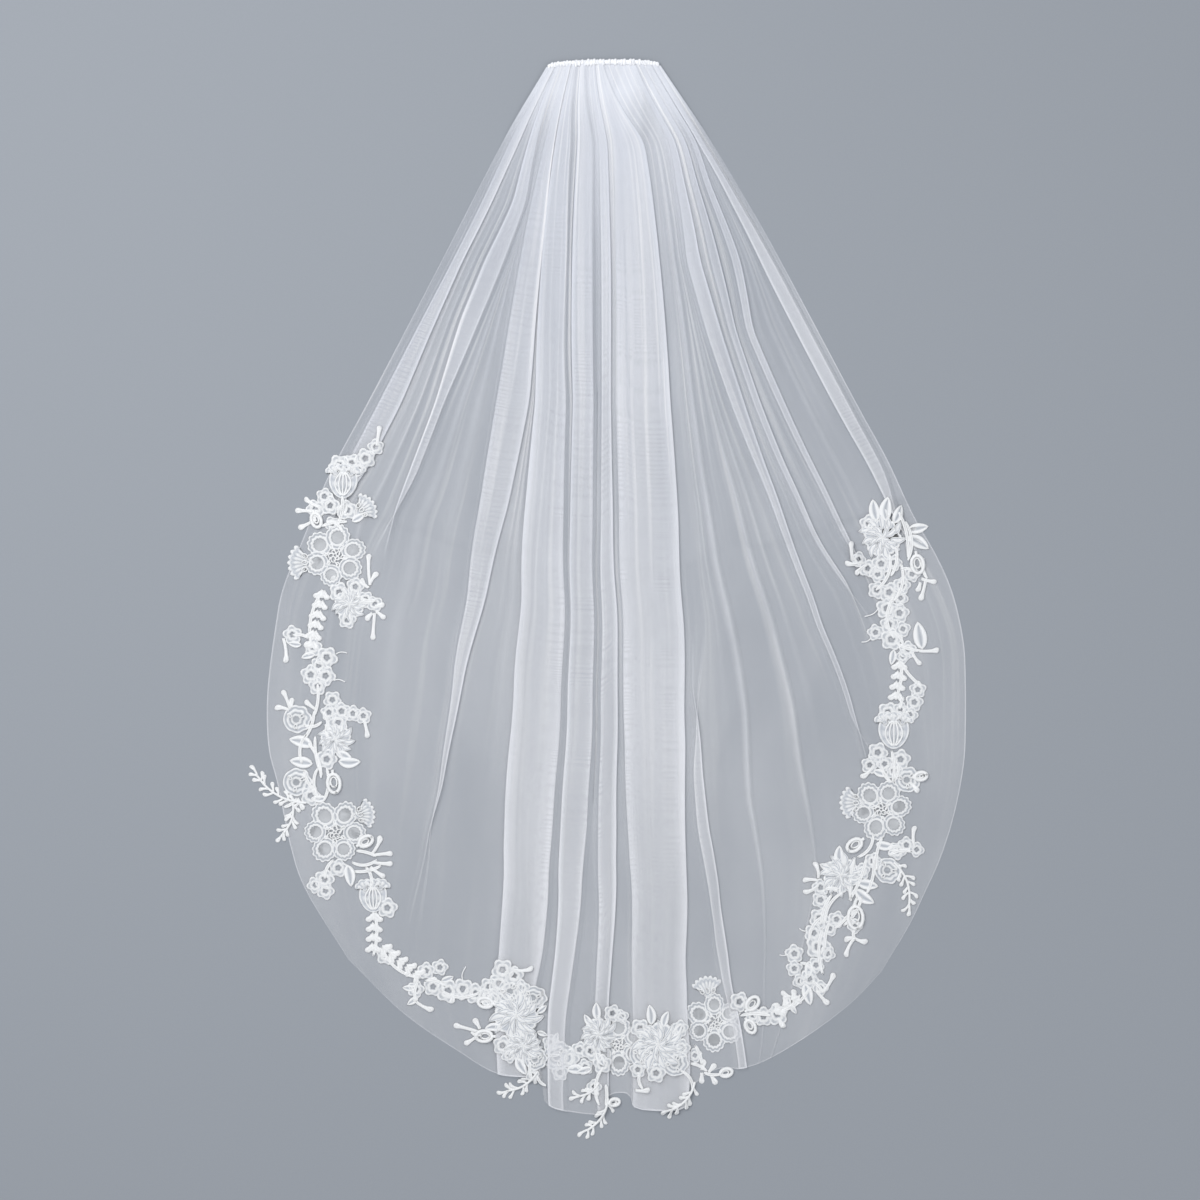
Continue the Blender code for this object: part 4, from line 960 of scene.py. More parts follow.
def fan(radius, spread, lobes, dip, count):
    """A shell-shaped outline that opens along x from its root at the origin, spread degrees wide."""
    angle = np.radians(np.linspace(-spread / 2, spread / 2, count))
    waves = np.linspace(-lobes / 2, lobes / 2, count) * math.pi
    reach = radius * (1 - dip * (1 - np.abs(np.cos(waves)))) * (1 - 0.1 * np.abs(angle) ** 2)
    edge = np.column_stack([reach * np.cos(angle), reach * np.sin(angle)])
    side = np.array([(0.45, 0.3), (0.14, 0.16), (0.0, 0.0)]) * radius
    return np.vstack([edge, side, (side * (1, -1))[1::-1]])


def arc_path(length, bend, count=None):
    """Points from the origin along x, bent sideways into a shallow arc by a share of the length."""
    s = np.linspace(0, 1, count or max(3, int(abs(length) / CORD_STEP) + 1))
    return np.column_stack([s * length, 4 * bend * length * s * (1 - s)])


def ring_path(radius, stretch, count):
    """A closed ring about the origin, longer along x where it is stretched."""
    angle = np.linspace(0, 2 * math.pi, count + 1)
    angle = np.r_[angle, angle[1]]  # the last point laps over the first, so no gap shows
    return np.column_stack([radius * stretch * np.cos(angle), radius * np.sin(angle)])


print("a patch and a cord are ready to be placed")

# %% [markdown]
# ## Relief, ring by ring
# A patch is a stack of rings, from its rim to its core. The tables below give each ring its share of the
# way out, its height in mm, how much of it is bare net, how deep it lies in a groove, and how strongly the
# waves of the edge dent it, or raise it into a spoke where the dent is negative. The groove value is painted
# shade: it darkens the thread's colour a little where light hardly reaches, at the bottom of a groove between
# two cords and in the hollow of a petal. A petal has two cords with a band of loose stitches between them,
# and bare net in its hollow. A shell has creases that run from every wave of its edge back to its root.

# %% Tables of relief
# Columns: share of the way out, height, bare net, groove (painted shade), dent.
FOOT = ((1.0, 0.0, 0, 0.2, 0),)
RIM = FOOT + ((0.985, 0.7, 0, 0, 0.4), (0.93, 1.1, 0, 0, 0.5), (0.875, 0.75, 0, 0.3, 0.2))
PETAL = RIM + ((0.85, 0.4, 0.3, 1.0, 0), (0.74, 0.45, 0.35, 0.8, 0), (0.69, 0.85, 0, 0.1, 0),
               (0.61, 1.15, 0, 0, 0), (0.53, 0.75, 0, 0.2, 0), (0.50, 0.35, 0.7, 0.9, 0),
               (0.42, 0.3, 0.85, 0.65, 0))
SHELL = RIM + ((0.84, 0.55, 0, 0.9, 0.2), (0.74, 0.7, 0, 0.5, 0.6), (0.68, 1.1, 0, 0, 0.8),
               (0.5, 1.2, 0, 0, 1.0), (0.3, 0.9, 0, 0.2, 0.8), (0.15, 0.7, 0, 0.6, 0.4))
CUP = RIM + ((0.84, 0.45, 0.2, 1.0, 0.2), (0.75, 0.5, 0.2, 0.8, 0.3), (0.68, 0.95, 0, 0, 0.3),
             (0.59, 1.1, 0, 0, 0.2), (0.52, 0.6, 0, 0.7, 0), (0.45, 0.45, 0.5, 1.0, 0),
             (0.37, 0.8, 0, 0.2, 0), (0.28, 0.9, 0, 0, 0), (0.2, 0.35, 0.6, 1.0, 0))
FLORET = FOOT + ((0.96, 0.8, 0, 0, 0.4), (0.86, 1.1, 0, 0, 0.4), (0.75, 0.6, 0.2, 0.9, -0.9),
                 (0.62, 0.6, 0.2, 0.8, -0.9), (0.54, 0.9, 0, 0, -0.2), (0.4, 1.0, 0, 0, 0),
                 (0.26, 0.3, 0, 1.0, 0), (0.25, 0, 0, 1.0, 0))
ROSE_PETAL = FOOT + ((0.94, 0.8, 0, 0, 0), (0.82, 1.1, 0, 0, 0), (0.66, 0.6, 0, 0.9, 0),
                     (0.5, 0.5, 0, 0.9, 0), (0.34, 0.95, 0, 0.1, 0), (0.1, 1.05, 0, 0, 0))
ROSE_GROUND = FOOT + ((0.97, 0.7, 0, 0, 0.3), (0.91, 0.95, 0, 0, 0.3), (0.84, 0.5, 0, 0.9, 0.2),
                      (0.3, 0.45, 0, 0.7, 0))
LEAF = FOOT + ((0.93, 0.85, 0, 0, 0), (0.76, 1.2, 0, 0, 0), (0.46, 1.1, 0, 0, 0), (0.26, 0.7, 0, 0.7, 0),
               (0.08, 0.6, 0.1, 1.0, 0))
CLUB = FOOT + ((0.9, 0.8, 0, 0, 0), (0.62, 1.25, 0, 0, 0), (0.25, 1.35, 0, 0, 0))
BUD = RIM + ((0.84, 0.5, 0, 0.9, 0.2), (0.66, 0.9, 0, 0.3, 0.8), (0.45, 1.0, 0, 0.2, 0.8),
             (0.25, 0.7, 0, 0.7, 0.4))
print("rings of a petal:", len(PETAL))

# %% [markdown]
# ## The motifs
# The edging repeats a handful of motifs: a six-petalled flower, a full-blown rose, a shell, a cup-shaped
# rosette, a small round floret, a closed bud, leaves, round-ended bulbs, doubled stems, knobbed sprigs,
# open loops, loose thread tails and runs of crown-shaped leaflets. Each is a short function that adds its
# shapes to the work, at a place, an angle and a size, so the tables that follow only have to say where each
# one goes.

# %% Petals, flowers, roses and florets
SMALL_FLORET = 7.5  # a floret below this size has four lobes, and a larger one five


def round_patch(work, x, y, degrees, radius, relief, lobes, dip, stretch, count, lift=0.0, lean=0.0,
                holed=False):
    """A round petal about its own middle."""
    outline = turned(scalloped(radius, lobes, dip, count, stretch, lean), x, y, degrees)
    work.patch(outline, np.repeat([[x, y]], count, axis=0), relief, lobes, lift, holed)


def around(x, y, degrees, count, distance):
    """The places and angles of count petals around a middle."""
    for k in range(count):
        angle = degrees + 360 * k / count
        yield (*turned([(distance, 0)], x, y, angle)[0], angle)


def shell(work, x, y, degrees, size, spread, lobes, lift=0.0):
    """A petal like a scallop shell, with its root at x, y."""
    count = 4 * lobes + 1
    outline = fan(size, spread, lobes, 0.1, count)
    core = np.repeat([[0.12 * size, 0.0]], len(outline), axis=0)
    waves = np.r_[np.linspace(-lobes / 2, lobes / 2, count), np.zeros(len(outline) - count)] * math.pi
    work.patch(turned(outline, x, y, degrees), turned(core, x, y, degrees), SHELL, waves, lift)


def flower(work, x, y, degrees, size):
    """Six petals, one over the next, about eyelets and a heart of small rings."""
    for k, (px, py, angle) in enumerate(around(x, y, degrees, 6, 0.58 * size)):
        turn = angle + work.chance.uniform(-12, 12)
        px, py = (px, py) + work.chance.uniform(-0.03, 0.03, 2) * size
        stretch, radius = work.chance.uniform(0.98, 1.16), work.near(0.37 * size, 0.07)
        round_patch(work, px, py, turn, radius, PETAL, 13, 0.15, stretch, 65, 0.3 * (k % 2), 0.2)
    for px, py, angle in around(x, y, degrees + 12, 5, 0.12 * size):
        work.cord(turned(ring_path(work.near(0.062 * size, 0.2), 1.3, 8), px, py, angle + 30), 0.62, 0.2)
    for px, py, angle in around(x, y, degrees + 30, 6, 0.3 * size):
        work.cord(turned(ring_path(work.near(0.055 * size, 0.3), 1.7, 8), px, py, angle), 0.62, 0.1)
        work.cord(turned(arc_path(-0.2 * size, 0.1, 4), px, py, angle + 18), 0.6, 0.1)


def rose(work, x, y, degrees, size):
    """Long curved petals, ring over ring about a heart, on a ruffled ground."""
    round_patch(work, x, y, degrees, 0.86 * size, ROSE_GROUND, 13, 0.12, 1.0, 52)
    for count, root, reach, wide, lift in ((11, 0.34, 1.04, 0.22, 0.3), (8, 0.1, 0.72, 0.2, 0.8),
                                           (5, -0.08, 0.42, 0.22, 1.3)):
        start = degrees + work.chance.uniform(0, 60)
        for px, py, angle in around(x, y, start, count, root * size):
            turn = angle + 20 + work.chance.uniform(-14, 14)
            long = work.near((reach - root) * size, 0.12)
            leaf(work, px, py, turn, long, wide, work.near(-0.13), lift, ROSE_PETAL)


def rosette(work, x, y, degrees, size):
    """A small cup-shaped flower, seen a little from its side."""
    turn, stretch = degrees + work.chance.uniform(-40, 40), work.chance.uniform(1.0, 1.15)
    round_patch(work, x, y, turn, 0.97 * size, CUP, 8, 0.17, stretch, 40, 0.0, 0.25)
    for px, py, angle in around(x, y, turn + 20, 3, 0.5 * size):
        work.cord(turned(ring_path(0.11 * size, 1.5, 8), px, py, angle), 0.6, 0.9)


def shell_leaf(work, x, y, degrees, size):
    """A shell beside a flower, with eyelets at its root."""
    root = turned([(-0.75 * size, 0)], x, y, degrees)[0]
    shell(work, *root, degrees, 1.75 * size, 92, 7)
    for side in (-1, 0, 1):
        px, py = turned([(0.62 * size, 0.42 * side * size)], *root, degrees)[0]
        work.cord(turned(ring_path(0.13 * size, 1.5, 8), px, py, degrees + 30 * side), 0.6, 0.9)


def floret(work, x, y, degrees, size):
    """A small round flower with a hole in its middle."""
    lobes = 4 if size < SMALL_FLORET else 5
    turn = degrees + work.chance.uniform(-20, 20)
    radius = work.near(1.04 * size, 0.06)
    round_patch(work, x, y, turn, radius, FLORET, lobes, 0.3, 1.0, 5 * lobes, holed=True)


def leaf(work, x, y, degrees, size, wide=0.25, bend=None, lift=0.0, relief=LEAF):
    """A pointed oval from its root at x, y, bent sideways by a share of its length."""
    s = np.linspace(0, 1, 11)
    half = wide * size * np.sin(math.pi * s**0.85) ** 0.7
    bend = work.chance.uniform(-0.06, 0.06) if bend is None else bend
    off = bend * size * np.sin(math.pi * s)
    lower, upper = (np.column_stack([s * size, off + side * half]) for side in (-1, 1))
    rib = np.column_stack([(0.14 + 0.7 * s) * size, off])
    outline = np.vstack([lower[:-1], upper[:0:-1]])
    core = np.vstack([rib[:-1], rib[:0:-1]])
    work.patch(turned(outline, x, y, degrees), turned(core, x, y, degrees), relief, 0, lift)


def bud(work, x, y, degrees, size):
    """A closed, veined bud with three small shells at its tip."""
    angle = np.linspace(0, 2 * math.pi, 48, endpoint=False)
    along = 0.5 * size * (1 - np.cos(angle))
    tip = np.clip(along / size - 0.6, 0, 1) * 2.5
    along = along * (1 - 0.16 * tip * (1 - np.abs(np.cos(4.5 * angle))))
    wide = -0.44 * size * np.sin(angle) * (1 - 0.14 * np.cos(angle))
    outline = np.column_stack([along, wide])
    core = np.column_stack([0.5 * size + 0.45 * (along - 0.5 * size), 0 * wide])
    work.patch(turned(outline, x, y, degrees), turned(core, x, y, degrees), BUD, 9)
    for side in (-2, -1, 0, 1, 2):
        vein = arc_path(0.7 * size, 0.13 * side) + (0.1 * size, side * 0.03 * size)
        work.cord(turned(vein, x, y, degrees), 0.8, 0.5)
    for side in (-1, 0, 1):
        root = turned([(0.66 * size, side * 0.2 * size)], x, y, degrees)[0]
        shell(work, *root, degrees + 26 * side, 0.43 * size, 100, 3, 0.4)


print("motifs with relief: flower, rose, rosette, shell, floret, leaf, bud")

# %% [markdown]
# A bulb ends in a round knob and swells towards it, so it is a patch on a bent line. A stem is two cords
# side by side, because the needle goes out and back. Runs and sprigs set such clubs along a stem.

# %% Bulbs, stems, runs, sprigs, loops and tails
STALK = 1.5  # half the width of a bulb's stalk, in mm
BULB_KNOB = 2.6
CORD = 0.8  # radius of a stem's cords
CORDS_APART = 0.75  # how far they lie from the middle of the stem
RUN_PITCH, SPRIG_PITCH = 9.0, 5.5
THIN_THREAD = 0.55


def club(work, x, y, degrees, size, knob, stalk=STALK, bend=None, lift=0.0):
    """A stalk that swells into a round end."""
    bend = work.chance.uniform(-0.13, 0.13) if bend is None else bend
    swell = max(size - 2.4 * knob, 0.3 * size)
    s = np.array([0.0, 0.35, 0.7, 1.0]) * swell
    along = np.r_[s, swell + 0.4 * (size - knob - swell), size - knob]
    half = np.r_[stalk, stalk, stalk, 1.15 * stalk, 0.82 * knob, knob]
    cap = np.radians([-62, -30, 0, 30, 62])
    ends = np.column_stack([size - knob + knob * np.cos(cap), knob * np.sin(cap)])
    outline = np.vstack([np.column_stack([along, -half]), ends, np.column_stack([along, half])[::-1]])
    core = np.column_stack([np.clip(outline[:, 0], 0.6 * stalk, size - knob), 0 * outline[:, 0]])
    for part in (outline, core):
        part[:, 1] += 4 * bend * part[:, 0] * (1 - part[:, 0] / size)
    work.patch(turned(outline, x, y, degrees), turned(core, x, y, degrees), CLUB, 0, lift)


def bulb(work, x, y, degrees, size):
    """A club on its own."""
    club(work, x, y, degrees, size, work.near(BULB_KNOB))


def stem(work, x, y, degrees, size):
    """Two cords side by side that meet at their ends."""
    bend = work.chance.choice((-1, 1)) * work.chance.uniform(0.05, 0.17)
    path = arc_path(size, bend)
    apart = CORDS_APART * (1 - (2 * path[:, 0] / size - 1) ** 8)
    for side in (-1, 1):
        work.cord(turned(path + np.column_stack([0 * apart, side * apart]), x, y, degrees), CORD)


def run(work, x, y, degrees, size):
    """Crown-shaped leaflets, three to a knot, along one stem."""
    stem(work, x, y, degrees, size)
    for k in range(max(round(size / RUN_PITCH), 1)):
        px, py = turned([((k + 0.1) * RUN_PITCH, 0)], x, y, degrees)[0]
        for side in (-1, 1):
            club(work, px, py, degrees + 48 * side, work.near(9.5), 2.8, 2.3, -0.08 * side, 0.1)
        club(work, px, py, degrees, 6.5, 2.0, 1.6, 0.0, 0.3)


def sprig(work, x, y, degrees, size):
    """A curved stem with short knobs on both sides, and one at its end."""
    count = max(3, round(size / SPRIG_PITCH))
    path = arc_path(size - 7, 0.13, count + 1)
    slope = np.degrees(np.arctan2(*np.gradient(path, axis=0).T[::-1]))
    work.cord(turned(path, x, y, degrees), 1.1)
    for k in range(1, count + 1):
        px, py = turned(path[k], x, y, degrees)[0]
        for side in (-1, 1):
            if (k + side) % 3:
                turn = degrees + slope[k] + work.near(46) * side
                club(work, px, py, turn, work.near(8.8, 0.15), work.near(1.9), 1.1)
    club(work, *turned(path[-1], x, y, degrees)[0], degrees + slope[-1], 11, 2.1, 1.1)


def loop(work, x, y, degrees, size):
    """An open petal: a thick ring of cord on its stalk."""
    work.cord(turned(ring_path(0.25 * size, 1.5, 14) + (0.55 * size, 0), x, y, degrees), 1.6)
    work.cord(turned(ring_path(0.13 * size, 1.6, 10) + (0.5 * size, 0), x, y, degrees), 0.8)
    work.cord(turned(arc_path(0.2 * size, 0, 3), x, y, degrees), 1.4)


def tail(work, x, y, degrees, size):
    """The end of a thread, left loose where the lace was cut out."""
    s = np.linspace(0, 1, max(5, int(size / 1.5)))
    work.cord(turned(np.column_stack([s * size, 0.12 * size * np.sin(3.5 * s)]), x, y, degrees), THIN_THREAD)


MOTIFS = dict(flower=flower, rose=rose, rosette=rosette, shell=shell_leaf, floret=floret, bud=bud, leaf=leaf,
              bulb=bulb, stem=stem, run=run, sprig=sprig, loop=loop, tail=tail)
print("motifs:", ", ".join(MOTIFS))

# %% [markdown]
# ## The tree that turns lines into cords
# The tree splits the mesh by its kind attribute. Faces pass through as they are. Edges become curves with
# the width of their points, and then tubes of a few sides, because a cord 2 mm thick never fills more than
# a few pixels.

# %% Build the Geometry Nodes tree
PATCH_KIND, CORD_KIND = 0.0, 1.0
KIND_MARGIN = 0.4
CORD_SIDES = 6


def named_field(tree, name):
    """The number that each point carries under this name."""
    node = tree.nodes.new("GeometryNodeInputNamedAttribute")
    node.data_type = "FLOAT"
    node.inputs["Name"].default_value = name
    return node.outputs["Attribute"]


def kind_part(tree, geometry, kind, wanted):
    """The part of the geometry whose kind is the one wanted."""
    split = tree.nodes.new("GeometryNodeSeparateGeometry")
    tree.links.new(geometry, split.inputs["Geometry"])
    tree.links.new(math_node(tree, "COMPARE", kind, wanted, KIND_MARGIN), split.inputs["Selection"])
    return split.outputs["Selection"]


def cords_part(tree, lines, sides):
    """Edges to tubes, with the length along each cord kept for the stitches."""
    new, link = tree.nodes.new, tree.links.new
    curve = new("GeometryNodeMeshToCurve")
    link(lines, curve.inputs["Mesh"])
    along = new("GeometryNodeSplineParameter")
    keep = new("GeometryNodeStoreNamedAttribute")
    keep.data_type, keep.domain = "FLOAT", "POINT"
    keep.inputs["Name"].default_value = "stitch"
    link(curve.outputs[0], keep.inputs["Geometry"])
    link(along.outputs["Length"], keep.inputs["Value"])
    profile = new("GeometryNodeCurvePrimitiveCircle")
    link(sides, profile.inputs["Resolution"])
    profile.inputs["Radius"].default_value = 1.0
    tube = new("GeometryNodeCurveToMesh")
    link(keep.outputs[0], tube.inputs["Curve"])
    link(profile.outputs[0], tube.inputs["Profile Curve"])
    link(named_field(tree, "half_width"), tube.inputs["Scale"])
    tube.inputs["Fill Caps"].default_value = True
    return tube.outputs[0]


def lace_tree():
    """Patches pass through, edges become cords, and all of it takes the thread's material."""
    tree = bpy.data.node_groups.new("lace_cords", "GeometryNodeTree")
    for name, kind, value in (("Geometry", "Geometry", None), ("Cord sides", "Int", CORD_SIDES),
                              ("Thread", "Material", None)):
        socket = tree.interface.new_socket(name=name, in_out="INPUT", socket_type="NodeSocket" + kind)
        if value is not None:
            socket.default_value = value
    tree.interface.new_socket(name="Geometry", in_out="OUTPUT", socket_type="NodeSocketGeometry")
    new, link = tree.nodes.new, tree.links.new
    given, made = new("NodeGroupInput"), new("NodeGroupOutput")
    kind, whole = named_field(tree, "kind"), given.outputs["Geometry"]
    joined = new("GeometryNodeJoinGeometry")
    for part in (kind_part(tree, whole, kind, PATCH_KIND),
                 cords_part(tree, kind_part(tree, whole, kind, CORD_KIND), given.outputs["Cord sides"])):
        link(part, joined.inputs[0])
    last = joined
    for step in ("GeometryNodeRealizeInstances", "GeometryNodeSetShadeSmooth", "GeometryNodeSetMaterial"):
        node = new(step)
        link(last.outputs[0], node.inputs["Geometry"])
        last = node
    link(given.outputs["Thread"], last.inputs["Material"])
    link(last.outputs[0], made.inputs[0])
    return tree


LACE_TREE = lace_tree()
print("tree nodes:", len(LACE_TREE.nodes))

# %% [markdown]
# ## One mesh for one length of lace
# The faces of the patches and the edges of the cords go into one mesh, each set on a map of the cloth's
# height. The modifier's result is then kept as a plain mesh.

# %% Turn lace work into a mesh
LACE = look_named("corded_lace")
LACE_VALUES = ("kind", "half_width", "bare", "groove")
CORD_MIDDLE = 0.9  # height of a cord's middle over the cloth, for each mm of its radius


class LaceMesh:
    """Points, edges, faces, the rim distance of each face corner, and the values of each point."""

    def __init__(self, rest, squash):
        self.rest, self.squash = rest, squash
        self.points, self.edges, self.faces, self.rims = [], [], [], []
        self.values = {name: [] for name in LACE_VALUES}

    def add(self, flat, heights, *values):
        """Adds points at heights over the cloth; returns the number of the first."""
        flat = flat + TO_MIDDLE
        start = len(self.points)
        self.points += np.column_stack([flat, self.rest(flat) + np.asarray(heights) * self.squash]).tolist()
        for name, value in zip(LACE_VALUES, values):
            self.values[name] += np.broadcast_to(value, len(flat)).tolist()
        return start

    def add_patch(self, outline, core, relief, waves, lift, holed):
        """Rings from the rim inwards, closed at the top and bottom, or joined around a hole."""
        n = len(outline)
        x, y = outline[:, 0], outline[:, 1]
        if np.ndim(waves) == 0:
            waves = np.linspace(0, waves * math.pi, n, endpoint=False)
        if np.sum(x * np.roll(y, -1) - y * np.roll(x, -1)) < 0:
            outline, core, waves = outline[::-1], core[::-1], waves[::-1]
        dents = 1 - np.abs(np.cos(waves))
        rim = np.r_[0, np.cumsum(np.hypot(*np.diff(np.vstack([outline, outline[:1]]), axis=0).T))]
        starts = []
        for share, height, net, groove, dent in relief:
            tall = (height + lift) * (1 - dent * dents) if height else np.zeros(n)
            open_net = net * (1 - dents) if dent < 0 else net
            starts.append(self.add(core + (outline - core) * share, tall, PATCH_KIND, MM, open_net,
                                   np.clip(groove + dent * dents, 0, 1)))
        rings = list(zip(starts, starts[1:])) + ([(starts[-1], starts[0])] if holed else [])
        for a, b in rings:
            for k in range(n):
                k2 = (k + 1) % n
                self.faces.append((a + k, a + k2, b + k2, b + k))
                self.rims += [rim[k], rim[k + 1], rim[k + 1], rim[k]]
        if holed:
            return
        for face in ([starts[-1] + k for k in range(n)], [starts[0] + k for k in reversed(range(n))]):
            self.faces.append(tuple(face))
            self.rims += rim[:n].tolist()

    def add_work(self, work):
        """Adds all the patches and cords of one length."""
        for patch in work.patches:
            self.add_patch(*patch)
        for path, thick, lift in work.cords:
            heights = np.full(len(path), thick * CORD_MIDDLE + lift)
            start = self.add(path, heights, CORD_KIND, thick * MM, 0, 0)
            self.edges += [(start + k, start + k + 1) for k in range(len(path) - 1)]


def set_inputs(modifier, tree, **values):
    """Sets a Geometry Nodes modifier's inputs, found by name and set by identifier."""
    for item in tree.interface.items_tree:
        if item.in_out == "INPUT" and item.name.lower().replace(" ", "_") in values:
            modifier[item.identifier] = values[item.name.lower().replace(" ", "_")]


def kept_mesh(piece):
    """Replaces a piece's live modifiers by their result."""
    graph = bpy.context.evaluated_depsgraph_get()
    made = bpy.data.meshes.new_from_object(piece.evaluated_get(graph), depsgraph=graph,
                                           preserve_all_data_layers=True)
    piece.modifiers.clear()
    piece.data = made
    made.name = piece.name
    for vertex in made.vertices:
        vertex.co.z = max(vertex.co.z, 0.0)


def lace_piece(name, work, rest, squash):
    """One length of lace as an object. A squash below 1 flattens it."""
    parts = LaceMesh(rest, squash)
    parts.add_work(work)
    mesh = bpy.data.meshes.new(name)
    mesh.from_pydata((np.array(parts.points) * MM).tolist(), parts.edges, parts.faces)
    mesh.attributes.new("rim", "FLOAT", "CORNER").data.foreach_set("value", np.array(parts.rims) * MM)
    for key, numbers in parts.values.items():
        mesh.attributes.new(key, "FLOAT", "POINT").data.foreach_set("value", np.asarray(numbers, np.float32))
    piece = bpy.data.objects.new(name, mesh)
    bpy.context.scene.collection.objects.link(piece)
    modifier = piece.modifiers.new("cords", "NODES")
    modifier.node_group = LACE_TREE
    set_inputs(modifier, LACE_TREE, cord_sides=CORD_SIDES, thread=LACE)
    kept_mesh(piece)
    print(f"{name}: {len(work.patches)} patches, {len(work.cords)} cords,",
          sum(len(p.vertices) - 2 for p in piece.data.polygons), "triangles")
    return piece

# %% [markdown]
# ## The lace's thread
# The thread is a bright, slightly glossy cotton. Satin stitch lays it side by side across every band and
# cord, so the surface is combed with fine lines across its length. The rim attribute of a patch and the
# stitch attribute of a cord both measure along the band, and a sine of either gives the threads as bump and
# as painted shade in the gaps between them. The groove value adds painted shade in grooves and hollows. In
# the hollow of a petal only net is left, so there the surface becomes half see-through.

# %% A node group for stitches, and the lace's material
LACE_NET = dict(Cell=0.0012, Thread=0.75, Hole=0.3, Fullness=1.0)
# The first colour is painted shade, which the thread takes in grooves, in hollows and between stitches.
THREAD_PAINTED_SHADE, THREAD_WHITE = (0.50, 0.53, 0.58), (0.985, 0.985, 0.98)
THREAD_WIDTH = 0.0006
WANDER, WANDER_SCALE = 5.0, 700.0  # how far threads stray from their lines, and how often
# Painted shade: the two shares are how far the colour darkens in a groove and in the gap beside a thread.
GROOVE_SHADE, STITCH_SHADE = 0.8, 0.2  # how much of the light a groove and the gap beside a thread take


def make_stitch_group():
    """Threads laid side by side across a band: height, and a painted shade between them."""
    group = bpy.data.node_groups.new("satin_stitches", "ShaderNodeTree")
    group_socket(group, "Along", "NodeSocketFloat", "INPUT", 0.0)
    group_socket(group, "Place", "NodeSocketVector", "INPUT")
    group_socket(group, "Thread width", "NodeSocketFloat", "INPUT", THREAD_WIDTH, 0.0001, 0.01)
    group_socket(group, "Height", "NodeSocketFloat", "OUTPUT")
    group_socket(group, "Shade", "NodeSocketFloat", "OUTPUT")
    given, made = group.nodes.new("NodeGroupInput"), group.nodes.new("NodeGroupOutput")
    wander = noise_node(group, given.outputs["Place"], WANDER_SCALE, 2.0, (1.0, 1.0, 1.0))
    turns = math_node(group, "DIVIDE", given.outputs["Along"], given.outputs["Thread width"])
    strayed = math_node(group, "MULTIPLY", wander, WANDER)
    phase = math_node(group, "MULTIPLY_ADD", turns, 2 * math.pi, strayed)
    wave = math_node(group, "SINE", phase)
    height = math_node(group, "MULTIPLY_ADD", wander, 1.4, wave)
    group.links.new(height, made.inputs["Height"])
    group.links.new(range_node(group, height, -0.6, 1.4, 0.0, 1.0, False), made.inputs["Shade"])
    return group


STITCHES = make_stitch_group()


def finish_lace(look):
    """White thread with painted shade between its stitches and in its grooves, and net where it is bare."""
    tree = look.node_tree
    where = tree.nodes.new("ShaderNodeTexCoord").outputs["Object"]
    along = math_node(tree, "ADD", attribute_node(tree, "rim"), attribute_node(tree, "stitch"))
    threads = group_node(tree, STITCHES, Along=along, Place=where)
    # Painted shade: the groove value darkens the thread in grooves, in the hollows of petals and around the
    # holes of florets.
    deep = math_node(tree, "MULTIPLY", attribute_node(tree, "groove"), GROOVE_SHADE)
    stitched = math_node(tree, "MULTIPLY_ADD", threads.outputs["Shade"], STITCH_SHADE, 1 - STITCH_SHADE)
    light = math_node(tree, "SUBTRACT", stitched, deep)
    net = group_node(tree, NET, Place=where, **LACE_NET)
    set_look(look, {"Roughness": 0.62, "Sheen Weight": 0.25, "Sheen Roughness": 0.5,
                    "Specular IOR Level": 0.3,
                    "Alpha": mix_node(tree, attribute_node(tree, "bare"), 1.0, net.outputs["Opacity"]),
                    "Normal": bump_node(tree, threads.outputs["Height"], 0.55, 0.0002),
                    "Base Color": ramp_node(tree, light, THREAD_PAINTED_SHADE, THREAD_WHITE)})


finish_lace(LACE)
print("lace nodes:", len(LACE.node_tree.nodes))

# %% [markdown]
# ## The edging, length by length
# Each length of lace is a table of motifs: kind, x and y in mm, the way it points in degrees, and its size.

